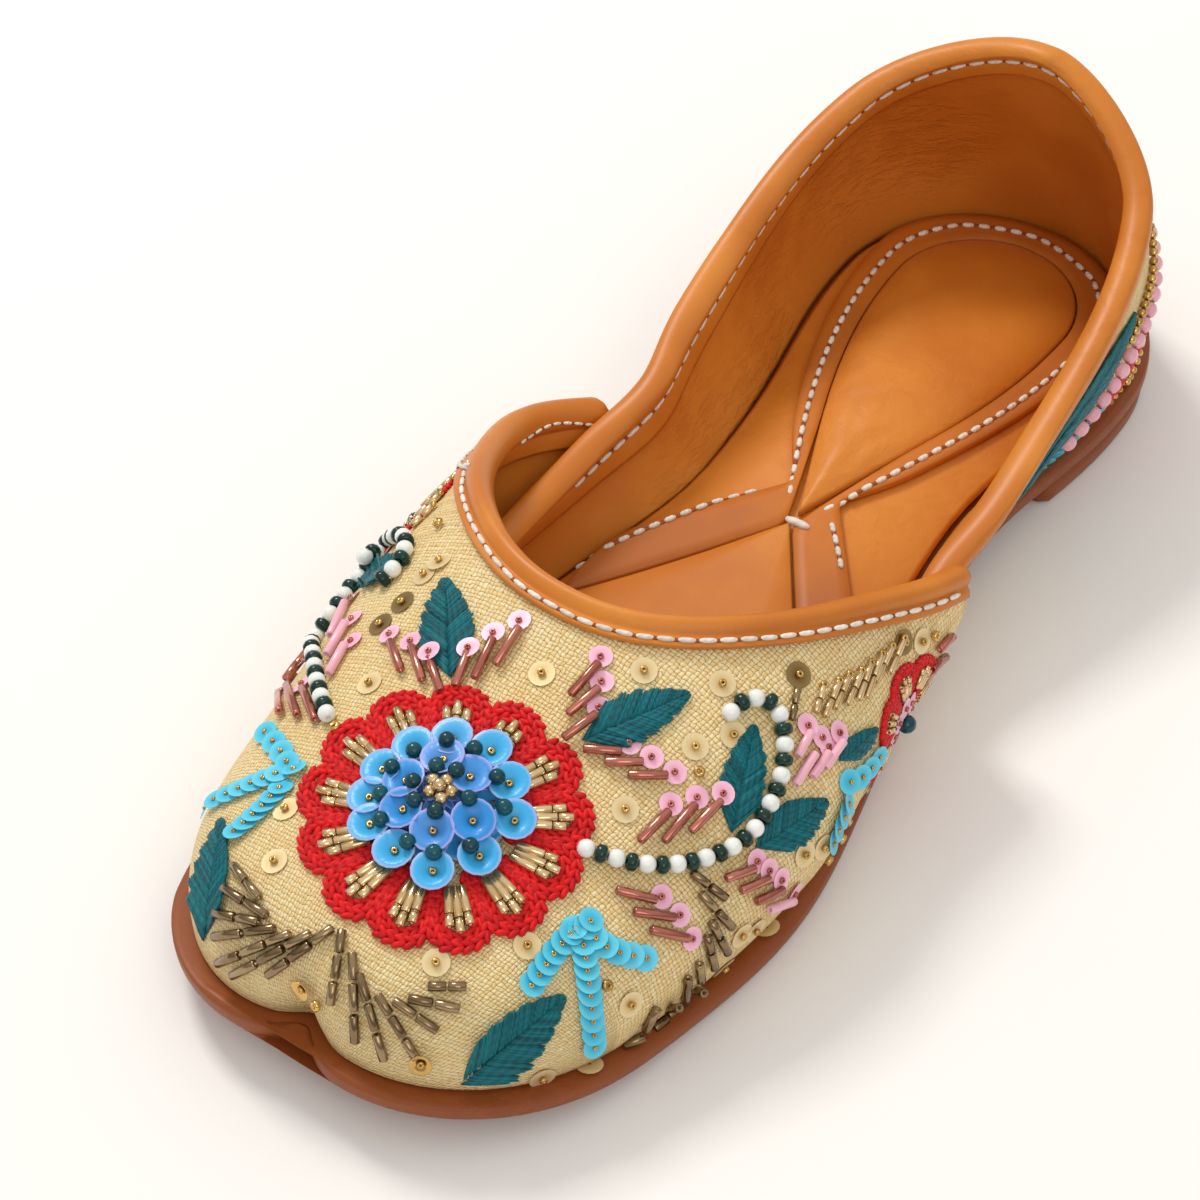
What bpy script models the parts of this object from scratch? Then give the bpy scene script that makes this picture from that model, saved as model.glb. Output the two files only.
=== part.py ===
"""A mojari: a flat slip-on shoe with a cleft toe, an embroidered front and a high rounded back.

Every surface comes from a few driving sizes in millimetres and short tables whose rows are sections
of the shoe. Toe to heel runs along +Y, +Z is up, and the sole stands on Z = 0.
"""

import math

import bmesh
import bpy
import numpy as np

MM = 0.001
GAP = 0.3                 # clearance between pieces that touch
SEWN_GAP = 0.5            # clearance between a folded binding and the wall inside it

# Sole and last
SHOE_LENGTH = 245.0
BALL_WIDTH = 88.4
TOE_REACH = 42.0          # length of the rounded toe end
TOE_POWER = 2.45          # 2 is an ellipse, more is squarer
HEEL_REACH = 34.0
HEEL_POWER = 2.1
CLEFT_DEPTH = 8.0         # the notch in the middle of the toe
CLEFT_WIDTH = 4.8
CLEFT_OFFSET = -1.0
CLEFT_RISE = 17.0         # height over which the notch fades out in the vamp
SOLE_THICKNESS = 4.0
SOLE_EDGE = 0.7
HEEL_LIFT = 5.0
HEEL_LIFT_LENGTH = 62.0
HEEL_LIFT_INSET = 0.6
TOE_SPRING = 8.0
SOLE_RIM = 3.2            # sole that shows outside the upper
WAIST_CURVE = 0.27        # share of the length over which the sole climbs to the heel

# Uppers
CROWN = 60.6              # height that the front's ridge would reach over the instep
CROWN_REACH = 30.0
CROWN_POWER = 2.2
SECTION_POWER = 2.4
WAIST_SWELL_LEFT = 0.43   # how far the walls stand over the narrow waist, as a share of its width
WAIST_SWELL_RIGHT = 0.31
SWELL_POWER = 1.05        # 1 lets the swell grow evenly from the toe, more holds it back to the waist
EAR_SWELL = 0.16          # further flare at the tips of the front
VAMP_WALL = 1.6
THROAT = 76.4             # toe to the middle of the throat
EAR_LEFT = 138.5          # toe to the tip of each side of the front
EAR_RIGHT = 128.7
EAR_ANGLE_LEFT = 15.3     # how far up the section each tip stands, in degrees
EAR_ANGLE_RIGHT = 29.3
THROAT_POWER = 1.74
THROAT_DROP = 0.75
QUARTER_WALL = 2.0
QUARTER_START = 98.0
BACK_HEIGHT = 49.5
TOP_LEAN = 12.6           # the greatest lean of the back's walls
BACK_SWELL = 2.5

# Bindings
BINDING_LEATHER = 0.9
BINDING_ROLL = 2.1        # height of the roll over the edge
ROLL_TURN = 0.45          # angle by which the roll wraps on past its widest places
SEAM = 1.9                # edge to the sewn groove under the roll
VAMP_BAND = 3.9           # width outside and inside
VAMP_LIP = 5.0
QUARTER_BAND = 2.6
QUARTER_LIP = 6.0

# Insole and what is sewn on it
INSOLE_THICKNESS = 1.8
INSOLE_TOE_ROOM = 2.5     # further room for the fold inside the cleft toe
SOCK_BAND_THICKNESS = 1.4
SOCK_BAND_WIDTH = 7.0
PAD_TIP = 146.0           # toe to the point where pad and front sock meet
PAD_LENGTH = 85.2
PAD_WIDTH = 36.0
PAD_CROWN = 4.2
PAD_TURN = -1.6           # sideways shift of the pad's round end
FRONT_SOCK_TIP = 143.6
FRONT_SOCK_LENGTH = 118.0
FRONT_SOCK_SLOPE = 0.69
FRONT_SOCK_THICKNESS = 1.6
STRIP_SLOPE = 0.60
STRIP_WIDTH = 9.0

# Half widths of the sole as shares of BALL_WIDTH, and the ridge as a share of CROWN
PLAN_COLUMNS = ("along", "left", "right")
PLAN = (
    (0.00, 0.459, 0.445),
    (0.15, 0.464, 0.491),
    (0.30, 0.462, 0.535),
    (0.46, 0.408, 0.445),
    (0.64, 0.307, 0.328),
    (0.84, 0.395, 0.377),
    (1.00, 0.380, 0.310),
)
RIDGE_COLUMNS = ("along", "height")
RIDGE = (
    (0.00, 0.350),
    (0.10, 0.392),
    (0.22, 0.547),
    (0.36, 0.764),
    (0.60, 0.975),
)
# Topline of the back as shares of BACK_HEIGHT and TOP_LEAN
TOPLINE_COLUMNS = ("along", "height", "lean")
TOPLINE = (
    (0.38, 0.390, -0.326),
    (0.50, 0.320, 0.269),
    (0.64, 0.403, 0.808),
    (0.85, 0.766, 0.031),
    (1.00, 1.047, -1.136),
)
SIDES = {"left": -1.0, "right": 1.0}
SWELLS = {"left": WAIST_SWELL_LEFT, "right": WAIST_SWELL_RIGHT}
EARS = {"left": (EAR_LEFT, EAR_ANGLE_LEFT), "right": (EAR_RIGHT, EAR_ANGLE_RIGHT)}

# Fineness of the lofts
TOE_STEPS = 10
TOE_FINE_STEP = 0.05
MID_STEPS = 15
HEEL_STEPS = 9
SECTION_STEPS = 13
THROAT_STEPS = 16
THROAT_SPREAD = 1.15
WALL_STEPS = 7

COLOURS = {
    "sole_leather": (0.20, 0.062, 0.024, 1.0),
    "tan_leather": (0.52, 0.20, 0.055, 1.0),
    "raffia_cloth": (0.72, 0.55, 0.30, 1.0),
}


def smooth_curve(rows, columns, name):
    """A smooth function of the share along the shoe through one column of a table."""
    at = np.array([row[columns.index("along")] for row in rows])
    value = np.array([row[columns.index(name)] for row in rows])
    step = np.diff(at)
    rise = np.diff(value) / step
    slope = np.concatenate([[rise[0]], (rise[:-1] * step[1:] + rise[1:] * step[:-1]) / (step[1:] + step[:-1]), [rise[-1]]])

    def curve(share):
        share = np.clip(np.asarray(share, float), at[0], at[-1])
        k = np.clip(np.searchsorted(at, share) - 1, 0, len(step) - 1)
        t = (share - at[k]) / step[k]
        ends = value[k] * (1 + 2 * t) * (1 - t) ** 2 + value[k + 1] * (3 - 2 * t) * t**2
        return ends + step[k] * (slope[k] * t * (1 - t) ** 2 + slope[k + 1] * (t - 1) * t**2)

    return curve


plan_half = {side: smooth_curve(PLAN, PLAN_COLUMNS, side) for side in SIDES}
ridge_height = smooth_curve(RIDGE, RIDGE_COLUMNS, "height")
topline_height = smooth_curve(TOPLINE, TOPLINE_COLUMNS, "height")
topline_lean = smooth_curve(TOPLINE, TOPLINE_COLUMNS, "lean")


def ease(t):
    """0 to 1 with level ends."""
    t = np.clip(t, 0.0, 1.0)
    return t * t * (3 - 2 * t)


def toe_share(y):
    return np.clip((TOE_REACH - y) / TOE_REACH, 0.0, 1.0)


def heel_share(y):
    return np.clip((y - (SHOE_LENGTH - HEEL_REACH)) / HEEL_REACH, 0.0, 1.0)


def end_rounding(y):
    """How far the round toe and heel narrow the plan at y: 1 in the middle, 0 at the two ends."""
    toe = (1 - toe_share(y) ** TOE_POWER) ** (1 / TOE_POWER)
    heel = (1 - heel_share(y) ** HEEL_POWER) ** (1 / HEEL_POWER)
    return toe * heel


def cleft(x, height=0.0):
    """How far the notch sets the toe back at x, fading out up the vamp."""
    fade = np.clip(1 - np.asarray(height) / CLEFT_RISE, 0.0, 1.0) ** 1.5
    return CLEFT_DEPTH * np.exp(-np.abs(x - CLEFT_OFFSET) / CLEFT_WIDTH) * fade


def cleft_at(y, x, height=0.0):
    """The notch near the toe alone."""
    near_toe = ease((TOE_REACH - y) / (0.4 * TOE_REACH))
    return cleft(x, height) * near_toe


def underside(y):
    """Height of the sole's underside: flat under the ball and the heel, sprung at the toe."""
    flat_from = 0.30 * SHOE_LENGTH
    flat_to = 0.45 * SHOE_LENGTH
    spring = TOE_SPRING * np.clip((flat_from - y) / flat_from, 0.0, 1.0) ** 2
    return spring + (HEEL_LIFT + GAP) * ease((y - flat_to) / (WAIST_CURVE * SHOE_LENGTH))


def bed(y):
    """Height of the sole's top face."""
    return underside(y) + SOLE_THICKNESS


def half_width(y, side, inset):
    """Half width of the plan at y, inset from the sole's edge."""
    return (plan_half[side](y / SHOE_LENGTH) * BALL_WIDTH - inset) * end_rounding(y)


def plan_y(y, inset):
    """y with its two ends drawn in by the inset."""
    return y + inset * toe_share(y) - inset * heel_share(y)


def sole_stations():
    """Toe to heel, close together where the outline turns."""
    corner = np.linspace(0, math.pi / 2, TOE_STEPS + 1)
    width = np.concatenate([[0.0, TOE_FINE_STEP, 2.5 * TOE_FINE_STEP], np.sin(corner[1:]) ** (2 / TOE_POWER)])
    toe = TOE_REACH * (1 - (1 - width**TOE_POWER) ** (1 / TOE_POWER))
    middle = np.linspace(TOE_REACH, SHOE_LENGTH - HEEL_REACH, MID_STEPS + 1)
    turn = np.linspace(0, 1, HEEL_STEPS + 1)
    heel = SHOE_LENGTH - HEEL_REACH * (1 - np.sin(turn * math.pi / 2))
    return np.concatenate([toe[:-1], middle[:-1], heel])


def closed_outline(stations, inset):
    """Plan points from the toe down the right side to the heel and back up the left."""
    sides = []
    for side, sign in (("right", 1.0), ("left", -1.0)):
        x = sign * half_width(stations, side, inset)
        sides.append(np.stack([x, plan_y(stations, inset) + cleft_at(stations, x)], axis=1))
    return np.concatenate([sides[0], sides[1][-2:0:-1]])


def add_object(name, points, faces, material):
    """A named object from points in millimetres, its faces pointing out."""
    shape = bmesh.new()
    for point in points:
        shape.verts.new([float(value) * MM for value in point])
    shape.verts.ensure_lookup_table()
    for face in faces:
        corners = list(dict.fromkeys(face))
        if len(corners) > 2:
            shape.faces.new([shape.verts[i] for i in corners])
    bmesh.ops.remove_doubles(shape, verts=shape.verts, dist=0.00001)
    bmesh.ops.recalc_face_normals(shape, faces=shape.faces)
    mesh = bpy.data.meshes.new(name)
    shape.to_mesh(mesh)
    shape.free()
    mesh.materials.append(material)
    mesh.shade_smooth()
    mesh.set_sharp_from_angle(angle=math.radians(40))
    made = bpy.data.objects.new(name, mesh)
    bpy.context.scene.collection.objects.link(made)
    return made


def thicken(name, outer, inner, faces, material):
    """A wall between two sheets of points with the same faces, closed round every open edge."""
    used = {}
    for face in faces:
        corners = list(dict.fromkeys(face))
        for a, b in zip(corners, corners[1:] + corners[:1]):
            used[(a, b)] = used.get((a, b), 0) + 1
    count = len(outer)
    rim = [(b, a, a + count, b + count) for a, b in used if (b, a) not in used]
    back = [tuple(i + count for i in reversed(face)) for face in faces]
    return add_object(name, np.concatenate([outer, inner]), [*faces, *back, *rim], material)


def grid_faces(rows, columns, closed=False):
    """Quads over a grid of points stored row by row."""
    across = columns if closed else columns - 1
    return [
        (r * columns + c, r * columns + (c + 1) % columns, (r + 1) * columns + (c + 1) % columns, (r + 1) * columns + c)
        for r in range(rows - 1)
        for c in range(across)
    ]


def ring_stack(name, rings, material):
    """A plate from closed rings of points, bottom to top, its two ends filled with strips across."""
    count = len(rings[0])
    faces = grid_faces(len(rings), count, closed=True)
    for ring in (0, len(rings) - 1):
        base = ring * count
        for i in range(count // 2):
            strip = (i, i + 1, count - i - 1, (count - i) % count)
            faces.append(tuple(base + k for k in strip))
    return add_object(name, np.concatenate(rings), faces, material)


def with_height(outline, height):
    """Plan points raised to a height, which may be a number or one value for each point."""
    return np.column_stack([outline, np.broadcast_to(height, len(outline))])


def make_outsole(material):
    stations = sole_stations()
    profile = (
        (SOLE_EDGE, 0.0),
        (0.0, SOLE_EDGE),
        (0.0, SOLE_THICKNESS - SOLE_EDGE),
        (SOLE_EDGE, SOLE_THICKNESS),
    )
    rings = []
    for inset, rise in profile:
        outline = closed_outline(stations, inset)
        rings.append(with_height(outline, underside(outline[:, 1]) + rise))
    return ring_stack("outsole", rings, material)


def make_heel_lift(material):
    """The low stacked piece under the heel, with a straight breast."""
    front = SHOE_LENGTH - HEEL_LIFT_LENGTH
    stations = sole_stations()
    stations = np.concatenate([[front], stations[stations > front + 2.0]])
    rings = []
    for inset, height in ((SOLE_EDGE, 0.0), (0.0, SOLE_EDGE), (0.0, HEEL_LIFT)):
        inset += HEEL_LIFT_INSET
        sides = []
        for side, sign in (("right", 1.0), ("left", -1.0)):
            x = sign * half_width(stations, side, inset)
            sides.append(np.stack([x, plan_y(stations, inset)], axis=1))
        ring = np.concatenate([sides[0], sides[1][-2::-1]])
        rings.append(with_height(ring, height))
    count = len(rings[0])
    faces = grid_faces(len(rings), count, closed=True)
    for base in (0, (len(rings) - 1) * count):
        faces += [tuple(base + k for k in (i, i + 1, count - i - 2, count - i - 1)) for i in range(count // 2)]
    return add_object("heel_lift", np.concatenate(rings), faces, material)


def section_swell(y, side):
    """How far the walls stand out at half height over the waist, as a share of the half width."""
    flare = EAR_SWELL * ease((y - 0.43 * SHOE_LENGTH) / 30.0)
    return SWELLS[side] * np.clip(y / (0.53 * SHOE_LENGTH), 0.0, 1.0) ** SWELL_POWER + flare


def crown(y, layer=0.0):
    """Height of the ridge over the sole, a layer inside or outside the vamp."""
    reach = np.clip((CROWN_REACH - y) / CROWN_REACH, 0.0, 1.0)
    return (ridge_height(y / SHOE_LENGTH) * CROWN - layer) * (1 - reach**CROWN_POWER) ** (1 / CROWN_POWER)


def vamp_point(y, angle, side, layer=0.0):
    """A point of the vamp at y and an angle up its section, 0 at the sole and a right angle on the ridge.

    layer is a depth inside the outer face, or a height outside it if it is negative.
    """
    power = SECTION_POWER
    cosine, sine = np.abs(np.cos(angle)), np.abs(np.sin(angle))
    radius = (cosine**power + sine**power) ** (-1 / power)
    rise = sine * radius
    spread = cosine * radius * np.sign(np.cos(angle))
    swell = 1 + section_swell(y, side) * np.sin(math.pi * np.clip(rise, 0.0, 1.0))
    swollen = half_width(y, side, SOLE_RIM) * swell
    x = SIDES[side] * (swollen - layer * end_rounding(y)) * spread
    z = crown(y, layer) * rise
    back = plan_y(y, SOLE_RIM + layer) + cleft_at(y, x, z)
    return np.stack(np.broadcast_arrays(x, back, bed(back) + GAP + z), axis=-1)


def vamp_width_at(y, height, side, layer):
    """Half width of the vamp at a height over the sole, a layer inside it."""
    top = crown(y, layer)
    rise = np.clip(height / top, 0.0, 0.999)
    spread = (1 - rise**SECTION_POWER) ** (1 / SECTION_POWER)
    swollen = half_width(y, side, SOLE_RIM) * (1 + section_swell(y, side) * np.sin(math.pi * rise))
    return (swollen - layer * end_rounding(y)) * spread


def throat_edge(share, side):
    """(y, angle) on the topline: share 0 is the middle of the throat, 1 the tip of the side."""
    tip, tip_angle = EARS[side]
    y = THROAT + (tip - THROAT) * share**THROAT_POWER
    return y, math.pi / 2 - (math.pi / 2 - math.radians(tip_angle)) * share**THROAT_DROP


def vamp_sheet(layer):
    """Points and faces of one face of the vamp, right half and left half joined along the ridge."""
    toe = sole_stations()
    toe = toe[toe < THROAT - 3.0]
    shares = np.linspace(0, 1, THROAT_STEPS + 1) ** THROAT_SPREAD
    points, faces = [], []
    for side in SIDES:
        y_back, angle_back = throat_edge(shares, side)
        y = np.concatenate([toe, y_back])
        top = np.concatenate([np.full(len(toe), math.pi / 2), angle_back])
        up = np.linspace(0, 1, SECTION_STEPS + 1)
        grid = vamp_point(y[:, None], top[:, None] * up[None, :], side, layer)
        base = sum(len(part) for part in points)
        points.append(grid.reshape(-1, 3))
        quads = grid_faces(len(y), len(up))
        if side == "left":
            quads = [tuple(reversed(quad)) for quad in quads]
        faces += [tuple(base + i for i in quad) for quad in quads]
    return np.concatenate(points), faces


def join_equal(points, faces):
    """Gives points in the same place one index, so that an edge between two halves isn't open."""
    keys = {}
    first = [keys.setdefault(tuple(np.round(point, 4)), i) for i, point in enumerate(points)]
    joined = []
    for face in faces:
        corners = list(dict.fromkeys(first[i] for i in face))
        if len(corners) > 2:
            joined.append(tuple(corners))
    return joined


def make_vamp(material):
    outer, faces = vamp_sheet(0.0)
    inner, _ = vamp_sheet(VAMP_WALL)
    return thicken("vamp", outer, inner, join_equal(outer, faces), material)


def binding_profile(wall, band, lip):
    """Closed section of a folded binding: (distance below the edge, layer), outside, roll, inside."""
    out, back = -SEWN_GAP - BINDING_LEATHER, wall + SEWN_GAP + BINDING_LEATHER
    roll = [
        (-BINDING_ROLL * math.sin(turn), (out + back) / 2 - (back - out + 1.0) / 2 * math.cos(turn))
        for turn in np.linspace(-ROLL_TURN, math.pi + ROLL_TURN, 8)
    ]
    groove = 0.6 * BINDING_LEATHER
    outside = [(SEAM, -SEWN_GAP), (band, -SEWN_GAP), (band, out), (SEAM + 0.7, out), (SEAM, out + groove)]
    inside = [(SEAM, back - groove), (SEAM + 0.7, back), (lip, back), (lip, wall + SEWN_GAP), (SEAM, wall + SEWN_GAP)]
    if band < SEAM + 1.0:
        outside = [(0.5 * band, -SEWN_GAP), (band, -SEWN_GAP), (band, out)]
    return outside + roll + inside + [(-SEWN_GAP, wall + SEWN_GAP), (-SEWN_GAP, -SEWN_GAP)]


def swept_loop(name, rings, material):
    """A bar from closed sections along a line, capped at both ends."""
    count = len(rings[0])
    faces = grid_faces(len(rings), count, closed=True)
    last = (len(rings) - 1) * count
    faces += [tuple(range(count)), tuple(last + i for i in reversed(range(count)))]
    made = add_object(name, np.concatenate(rings), faces, material)
    return made


def vamp_edge_line():
    """(side, y, angle) along the throat from the right tip round to the left tip."""
    shares = np.linspace(0, 1, THROAT_STEPS + 1) ** THROAT_SPREAD
    right = [("right", *throat_edge(share, "right")) for share in shares[::-1]]
    left = [("left", *throat_edge(share, "left")) for share in shares[1:]]
    return right + left


def vamp_edge_steps(line):
    """For each point of the throat, the change of (y, angle) that goes 1 mm down the vamp from the edge."""
    place = np.array([vamp_point(y, angle, side) for side, y, angle in line])
    along = np.gradient(place, axis=0)
    steps = []
    for (side, y, angle), tangent in zip(line, along):
        here = vamp_point(y, angle, side)
        by_y = (vamp_point(y + 0.5, angle, side) - here) / 0.5
        by_angle = (vamp_point(y, angle - 0.02, side) - here) / -0.02
        normal = np.cross(by_y, by_angle)
        down = np.cross(normal, tangent)
        down /= np.linalg.norm(down)
        step = np.linalg.lstsq(np.stack([by_y, by_angle], axis=1), down, rcond=None)[0]
        towards_toe = -1.0 if (by_y * step[0] + by_angle * step[1])[2] > 0 and angle < 1.2 else 1.0
        if angle >= 1.2:
            towards_toe = -1.0 if step[0] > 0 else 1.0
        steps.append(step * towards_toe)
    return np.array(steps)


def make_vamp_binding(material):
    line = vamp_edge_line()
    steps = vamp_edge_steps(line)
    rings = []
    for (side, y, angle), (step_y, step_angle) in zip(line, steps):
        ring = [
            vamp_point(y + below * step_y, angle + below * step_angle, side, layer)
            for below, layer in binding_profile(VAMP_WALL, VAMP_BAND, VAMP_LIP)
        ]
        rings.append(np.array(ring))
    return swept_loop("vamp_binding", rings, material)


def quarter_stations():
    """Stations and sides of the back's foot line, from the left front end round the heel to the right."""
    middle = np.linspace(QUARTER_START, SHOE_LENGTH - HEEL_REACH, MID_STEPS)
    turn = np.linspace(0, 1, HEEL_STEPS + 4)
    heel = SHOE_LENGTH - HEEL_REACH * (1 - np.sin(turn * math.pi / 2))
    left = np.concatenate([middle[:-1], heel])
    sides = ["left"] * len(left) + ["right"] * (len(left) - 1)
    return np.concatenate([left, left[-2::-1]]), sides


def quarter_inset(y, side):
    """The back tucks inside the vamp in front, and follows the vamp's own line behind it."""
    tucked = VAMP_WALL + 2 * GAP
    tip = EARS[side][0]
    return SOLE_RIM + tucked * (1 - ease((y - tip - 3.0) / 18.0))


def tuck_at(height_share):
    """Room between the vamp's outer face and the back's outer face where the two overlap."""
    foot = VAMP_WALL + 2 * GAP
    top = VAMP_WALL + 2 * GAP + 2 * SEWN_GAP + 2 * BINDING_LEATHER + 1.6
    return foot + (top - foot) * height_share


def quarter_grid(height_shares, layer):
    """Points of the back's wall at shares of its height, a layer inside its outer face."""
    y, sides = quarter_stations()
    inset = np.array([quarter_inset(a, side) for a, side in zip(y, sides)])
    sign = np.array([SIDES[side] for side in sides])
    foot_x = sign * np.array([half_width(a, side, b) for a, side, b in zip(y, sides, inset)])
    foot_y = plan_y(y, inset)
    run = np.stack([np.gradient(foot_x), np.gradient(foot_y)], axis=1)
    run /= np.linalg.norm(run, axis=1)[:, None]
    normal = np.stack([-run[:, 1], run[:, 0]], axis=1)
    height = topline_height(y / SHOE_LENGTH) * BACK_HEIGHT
    lean = topline_lean(y / SHOE_LENGTH) * TOP_LEAN
    grid = []
    for share in height_shares:
        inside = np.clip(share, 0.0, 1.0)
        offset = (lean + inset - SOLE_RIM) * share + BACK_SWELL * np.sin(math.pi * inside)
        room = np.array([
            vamp_width_at(a, h * inside, side, tuck_at(inside)) for a, side, h in zip(y, sides, height)
        ]) - np.abs(foot_x)
        tip = np.array([EARS[side][0] for side in sides])
        free = ease((y - tip - 1.0) / 20.0)
        nested = np.minimum(offset, room)
        offset = nested * (1 - free) + offset * free - layer
        plan = np.stack([foot_x, foot_y], axis=1) + normal * offset[:, None]
        grid.append(with_height(plan, bed(foot_y) + GAP + height * share))
    return np.stack(grid, axis=1)


def make_quarter(material):
    shares = np.linspace(0, 1, WALL_STEPS + 1)
    outer = quarter_grid(shares, 0.0)
    inner = quarter_grid(shares, QUARTER_WALL)
    faces = grid_faces(outer.shape[0], outer.shape[1])
    return thicken("quarter", outer.reshape(-1, 3), inner.reshape(-1, 3), faces, material)


def make_quarter_binding(material):
    y, _ = quarter_stations()
    height = topline_height(y / SHOE_LENGTH) * BACK_HEIGHT
    corners = []
    for below, layer in binding_profile(QUARTER_WALL, QUARTER_BAND, QUARTER_LIP):
        levels = 1 - below / height
        rows = np.array([quarter_grid([level], layer)[k, 0] for k, level in enumerate(levels)])
        corners.append(rows)
    rings = list(np.stack(corners, axis=1))
    return swept_loop("quarter_binding", rings, material)


def insole_inset(y, side):
    """Room for both walls at the insole's edge."""
    front = SOLE_RIM + VAMP_WALL + 2 * GAP + INSOLE_TOE_ROOM * toe_share(y)
    back = quarter_inset(y, side) + QUARTER_WALL + 2 * GAP
    return np.where(y < QUARTER_START - 4.0, front, back)


def make_insole(material):
    stations = sole_stations()
    sides = []
    for side, sign in (("right", 1.0), ("left", -1.0)):
        inset = insole_inset(stations, side)
        x = sign * half_width(stations, side, inset)
        sides.append(np.stack([x, plan_y(stations, inset) + cleft_at(stations, x)], axis=1))
    outline = np.concatenate([sides[0], sides[1][-2:0:-1]])
    rings = [with_height(outline, bed(outline[:, 1]) + rise) for rise in (GAP, GAP + INSOLE_THICKNESS)]
    return ring_stack("insole", rings, material)


def sock_base(y):
    """Height of the face that the pad and the sock's pieces rest on."""
    return bed(y) + INSOLE_THICKNESS + 2 * GAP


def pad_axis(y):
    """Sideways place of the pad's middle at y."""
    return PAD_TURN * ease((y - PAD_TIP) / PAD_LENGTH)


def teardrop(extra, steps=14):
    """Plan of the heel pad: a point towards the toe and a round end, grown all round by extra."""
    widest = 0.78
    flank = np.linspace(0, 1, steps)
    turn = np.linspace(0, math.pi / 2, steps)[1:]
    share = np.concatenate([widest * flank, widest + (1 - widest) * np.sin(turn)])
    width = np.concatenate([np.sin(flank * math.pi / 2) ** 1.05, np.cos(turn)])
    y = PAD_TIP - 1.2 * extra + (PAD_LENGTH + 2.2 * extra) * share
    half = (PAD_WIDTH / 2 + extra) * width
    right = np.stack([pad_axis(y) + half, y], axis=1)
    left = np.stack([pad_axis(y) - half, y], axis=1)
    return np.concatenate([right, left[-2:0:-1]])


def make_heel_pad(material):
    outer = teardrop(-GAP)
    middle = np.array([pad_axis(PAD_TIP + 0.62 * PAD_LENGTH), PAD_TIP + 0.62 * PAD_LENGTH])
    profile = ((1.0, 0.0), (1.0, SOCK_BAND_THICKNESS), (0.9, 0.62), (0.72, 0.87), (0.45, 0.98), (0.15, 1.0))
    rings = []
    for number, (scale, rise) in enumerate(profile):
        plan = middle + (outer - middle) * scale
        height = rise if number < 2 else PAD_CROWN * rise
        rings.append(with_height(plan, sock_base(plan[:, 1]) + height))
    return ring_stack("heel_pad", rings, material)


def make_sock_band(material):
    """The strip sewn round the pad, whose two ends spread forwards along the front sock."""
    inner, outer = teardrop(0.0), teardrop(SOCK_BAND_WIDTH)
    half = len(inner) // 2 + 1
    joint = 4
    inner_right, outer_right = inner[joint:half], outer[joint:half]
    inner_left, outer_left = inner[half - 1:len(inner) - joint + 1], outer[half - 1:len(outer) - joint + 1]
    steps = np.linspace(1, 0, 7)
    runs = {}
    for side, sign in SIDES.items():
        edge = half_width(QUARTER_START + 8.0, side, insole_inset(QUARTER_START + 8.0, side)) - 2.0
        front = FRONT_SOCK_TIP - steps * (edge / FRONT_SOCK_SLOPE - 4.0)
        near = sign * (FRONT_SOCK_TIP - front) * FRONT_SOCK_SLOPE + sign * 0.6
        lift = STRIP_WIDTH * (1 + 0.35 * steps)
        far = front + lift
        inner_line = np.stack([near, front], axis=1)
        outer_line = np.stack([near + sign * 0.45 * lift, far], axis=1)
        limit = half_width(outer_line[:, 1], side, insole_inset(outer_line[:, 1], side)) - 1.0
        outer_line[:, 0] = sign * np.minimum(np.abs(outer_line[:, 0]), limit)
        runs[side] = (inner_line, outer_line)
    inner_path = np.concatenate([runs["right"][0], inner_right, inner_left[1:], runs["left"][0][::-1]])
    outer_path = np.concatenate([runs["right"][1], outer_right, outer_left[1:], runs["left"][1][::-1]])
    rings = []
    for a, b in zip(inner_path, outer_path):
        base_a, base_b = sock_base(a[1]), sock_base(b[1])
        rings.append(np.array([
            (*a, base_a),
            (*b, base_b),
            (*b, base_b + SOCK_BAND_THICKNESS),
            (*a, base_a + SOCK_BAND_THICKNESS),
        ]))
    return swept_loop("sock_band", rings, material)


def make_front_sock(material):
    """The front of the sock, pointed towards the pad and as wide as the insole at the toe."""
    stations = np.linspace(FRONT_SOCK_TIP - 0.2, FRONT_SOCK_TIP - FRONT_SOCK_LENGTH, 22)
    sides = []
    for side, sign in (("right", 1.0), ("left", -1.0)):
        limit = half_width(stations, side, insole_inset(stations, side)) - 2.0
        x = np.minimum((FRONT_SOCK_TIP - stations) * FRONT_SOCK_SLOPE, limit)
        sides.append(np.stack([sign * x, stations], axis=1))
    outline = np.concatenate([sides[0], sides[1][::-1]])
    count = len(outline)
    rings = [with_height(outline, sock_base(outline[:, 1]) + rise) for rise in (0.0, FRONT_SOCK_THICKNESS)]
    faces = grid_faces(2, count, closed=True)
    for base in (0, count):
        faces += [tuple(base + k for k in (i, i + 1, count - i - 2, count - i - 1)) for i in range(count // 2 - 1)]
    return add_object("front_sock", np.concatenate(rings), faces, material)


def add_materials():
    made = {}
    for name, colour in COLOURS.items():
        material = bpy.data.materials.new(name)
        material.use_nodes = True
        shader = material.node_tree.nodes["Principled BSDF"]
        shader.inputs["Base Color"].default_value = colour
        shader.inputs["Roughness"].default_value = 0.55
        shader.inputs["Metallic"].default_value = 0.0
        made[name] = material
    return made


def centre_on_floor(objects):
    """Puts the origin under the middle of the shoe, at floor height."""
    corners = np.array([vertex.co[:] for made in objects for vertex in made.data.vertices])
    low, high = corners.min(axis=0), corners.max(axis=0)
    for made in objects:
        for vertex in made.data.vertices:
            vertex.co.x -= (low[0] + high[0]) / 2
            vertex.co.y -= (low[1] + high[1]) / 2
            vertex.co.z -= low[2]


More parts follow.
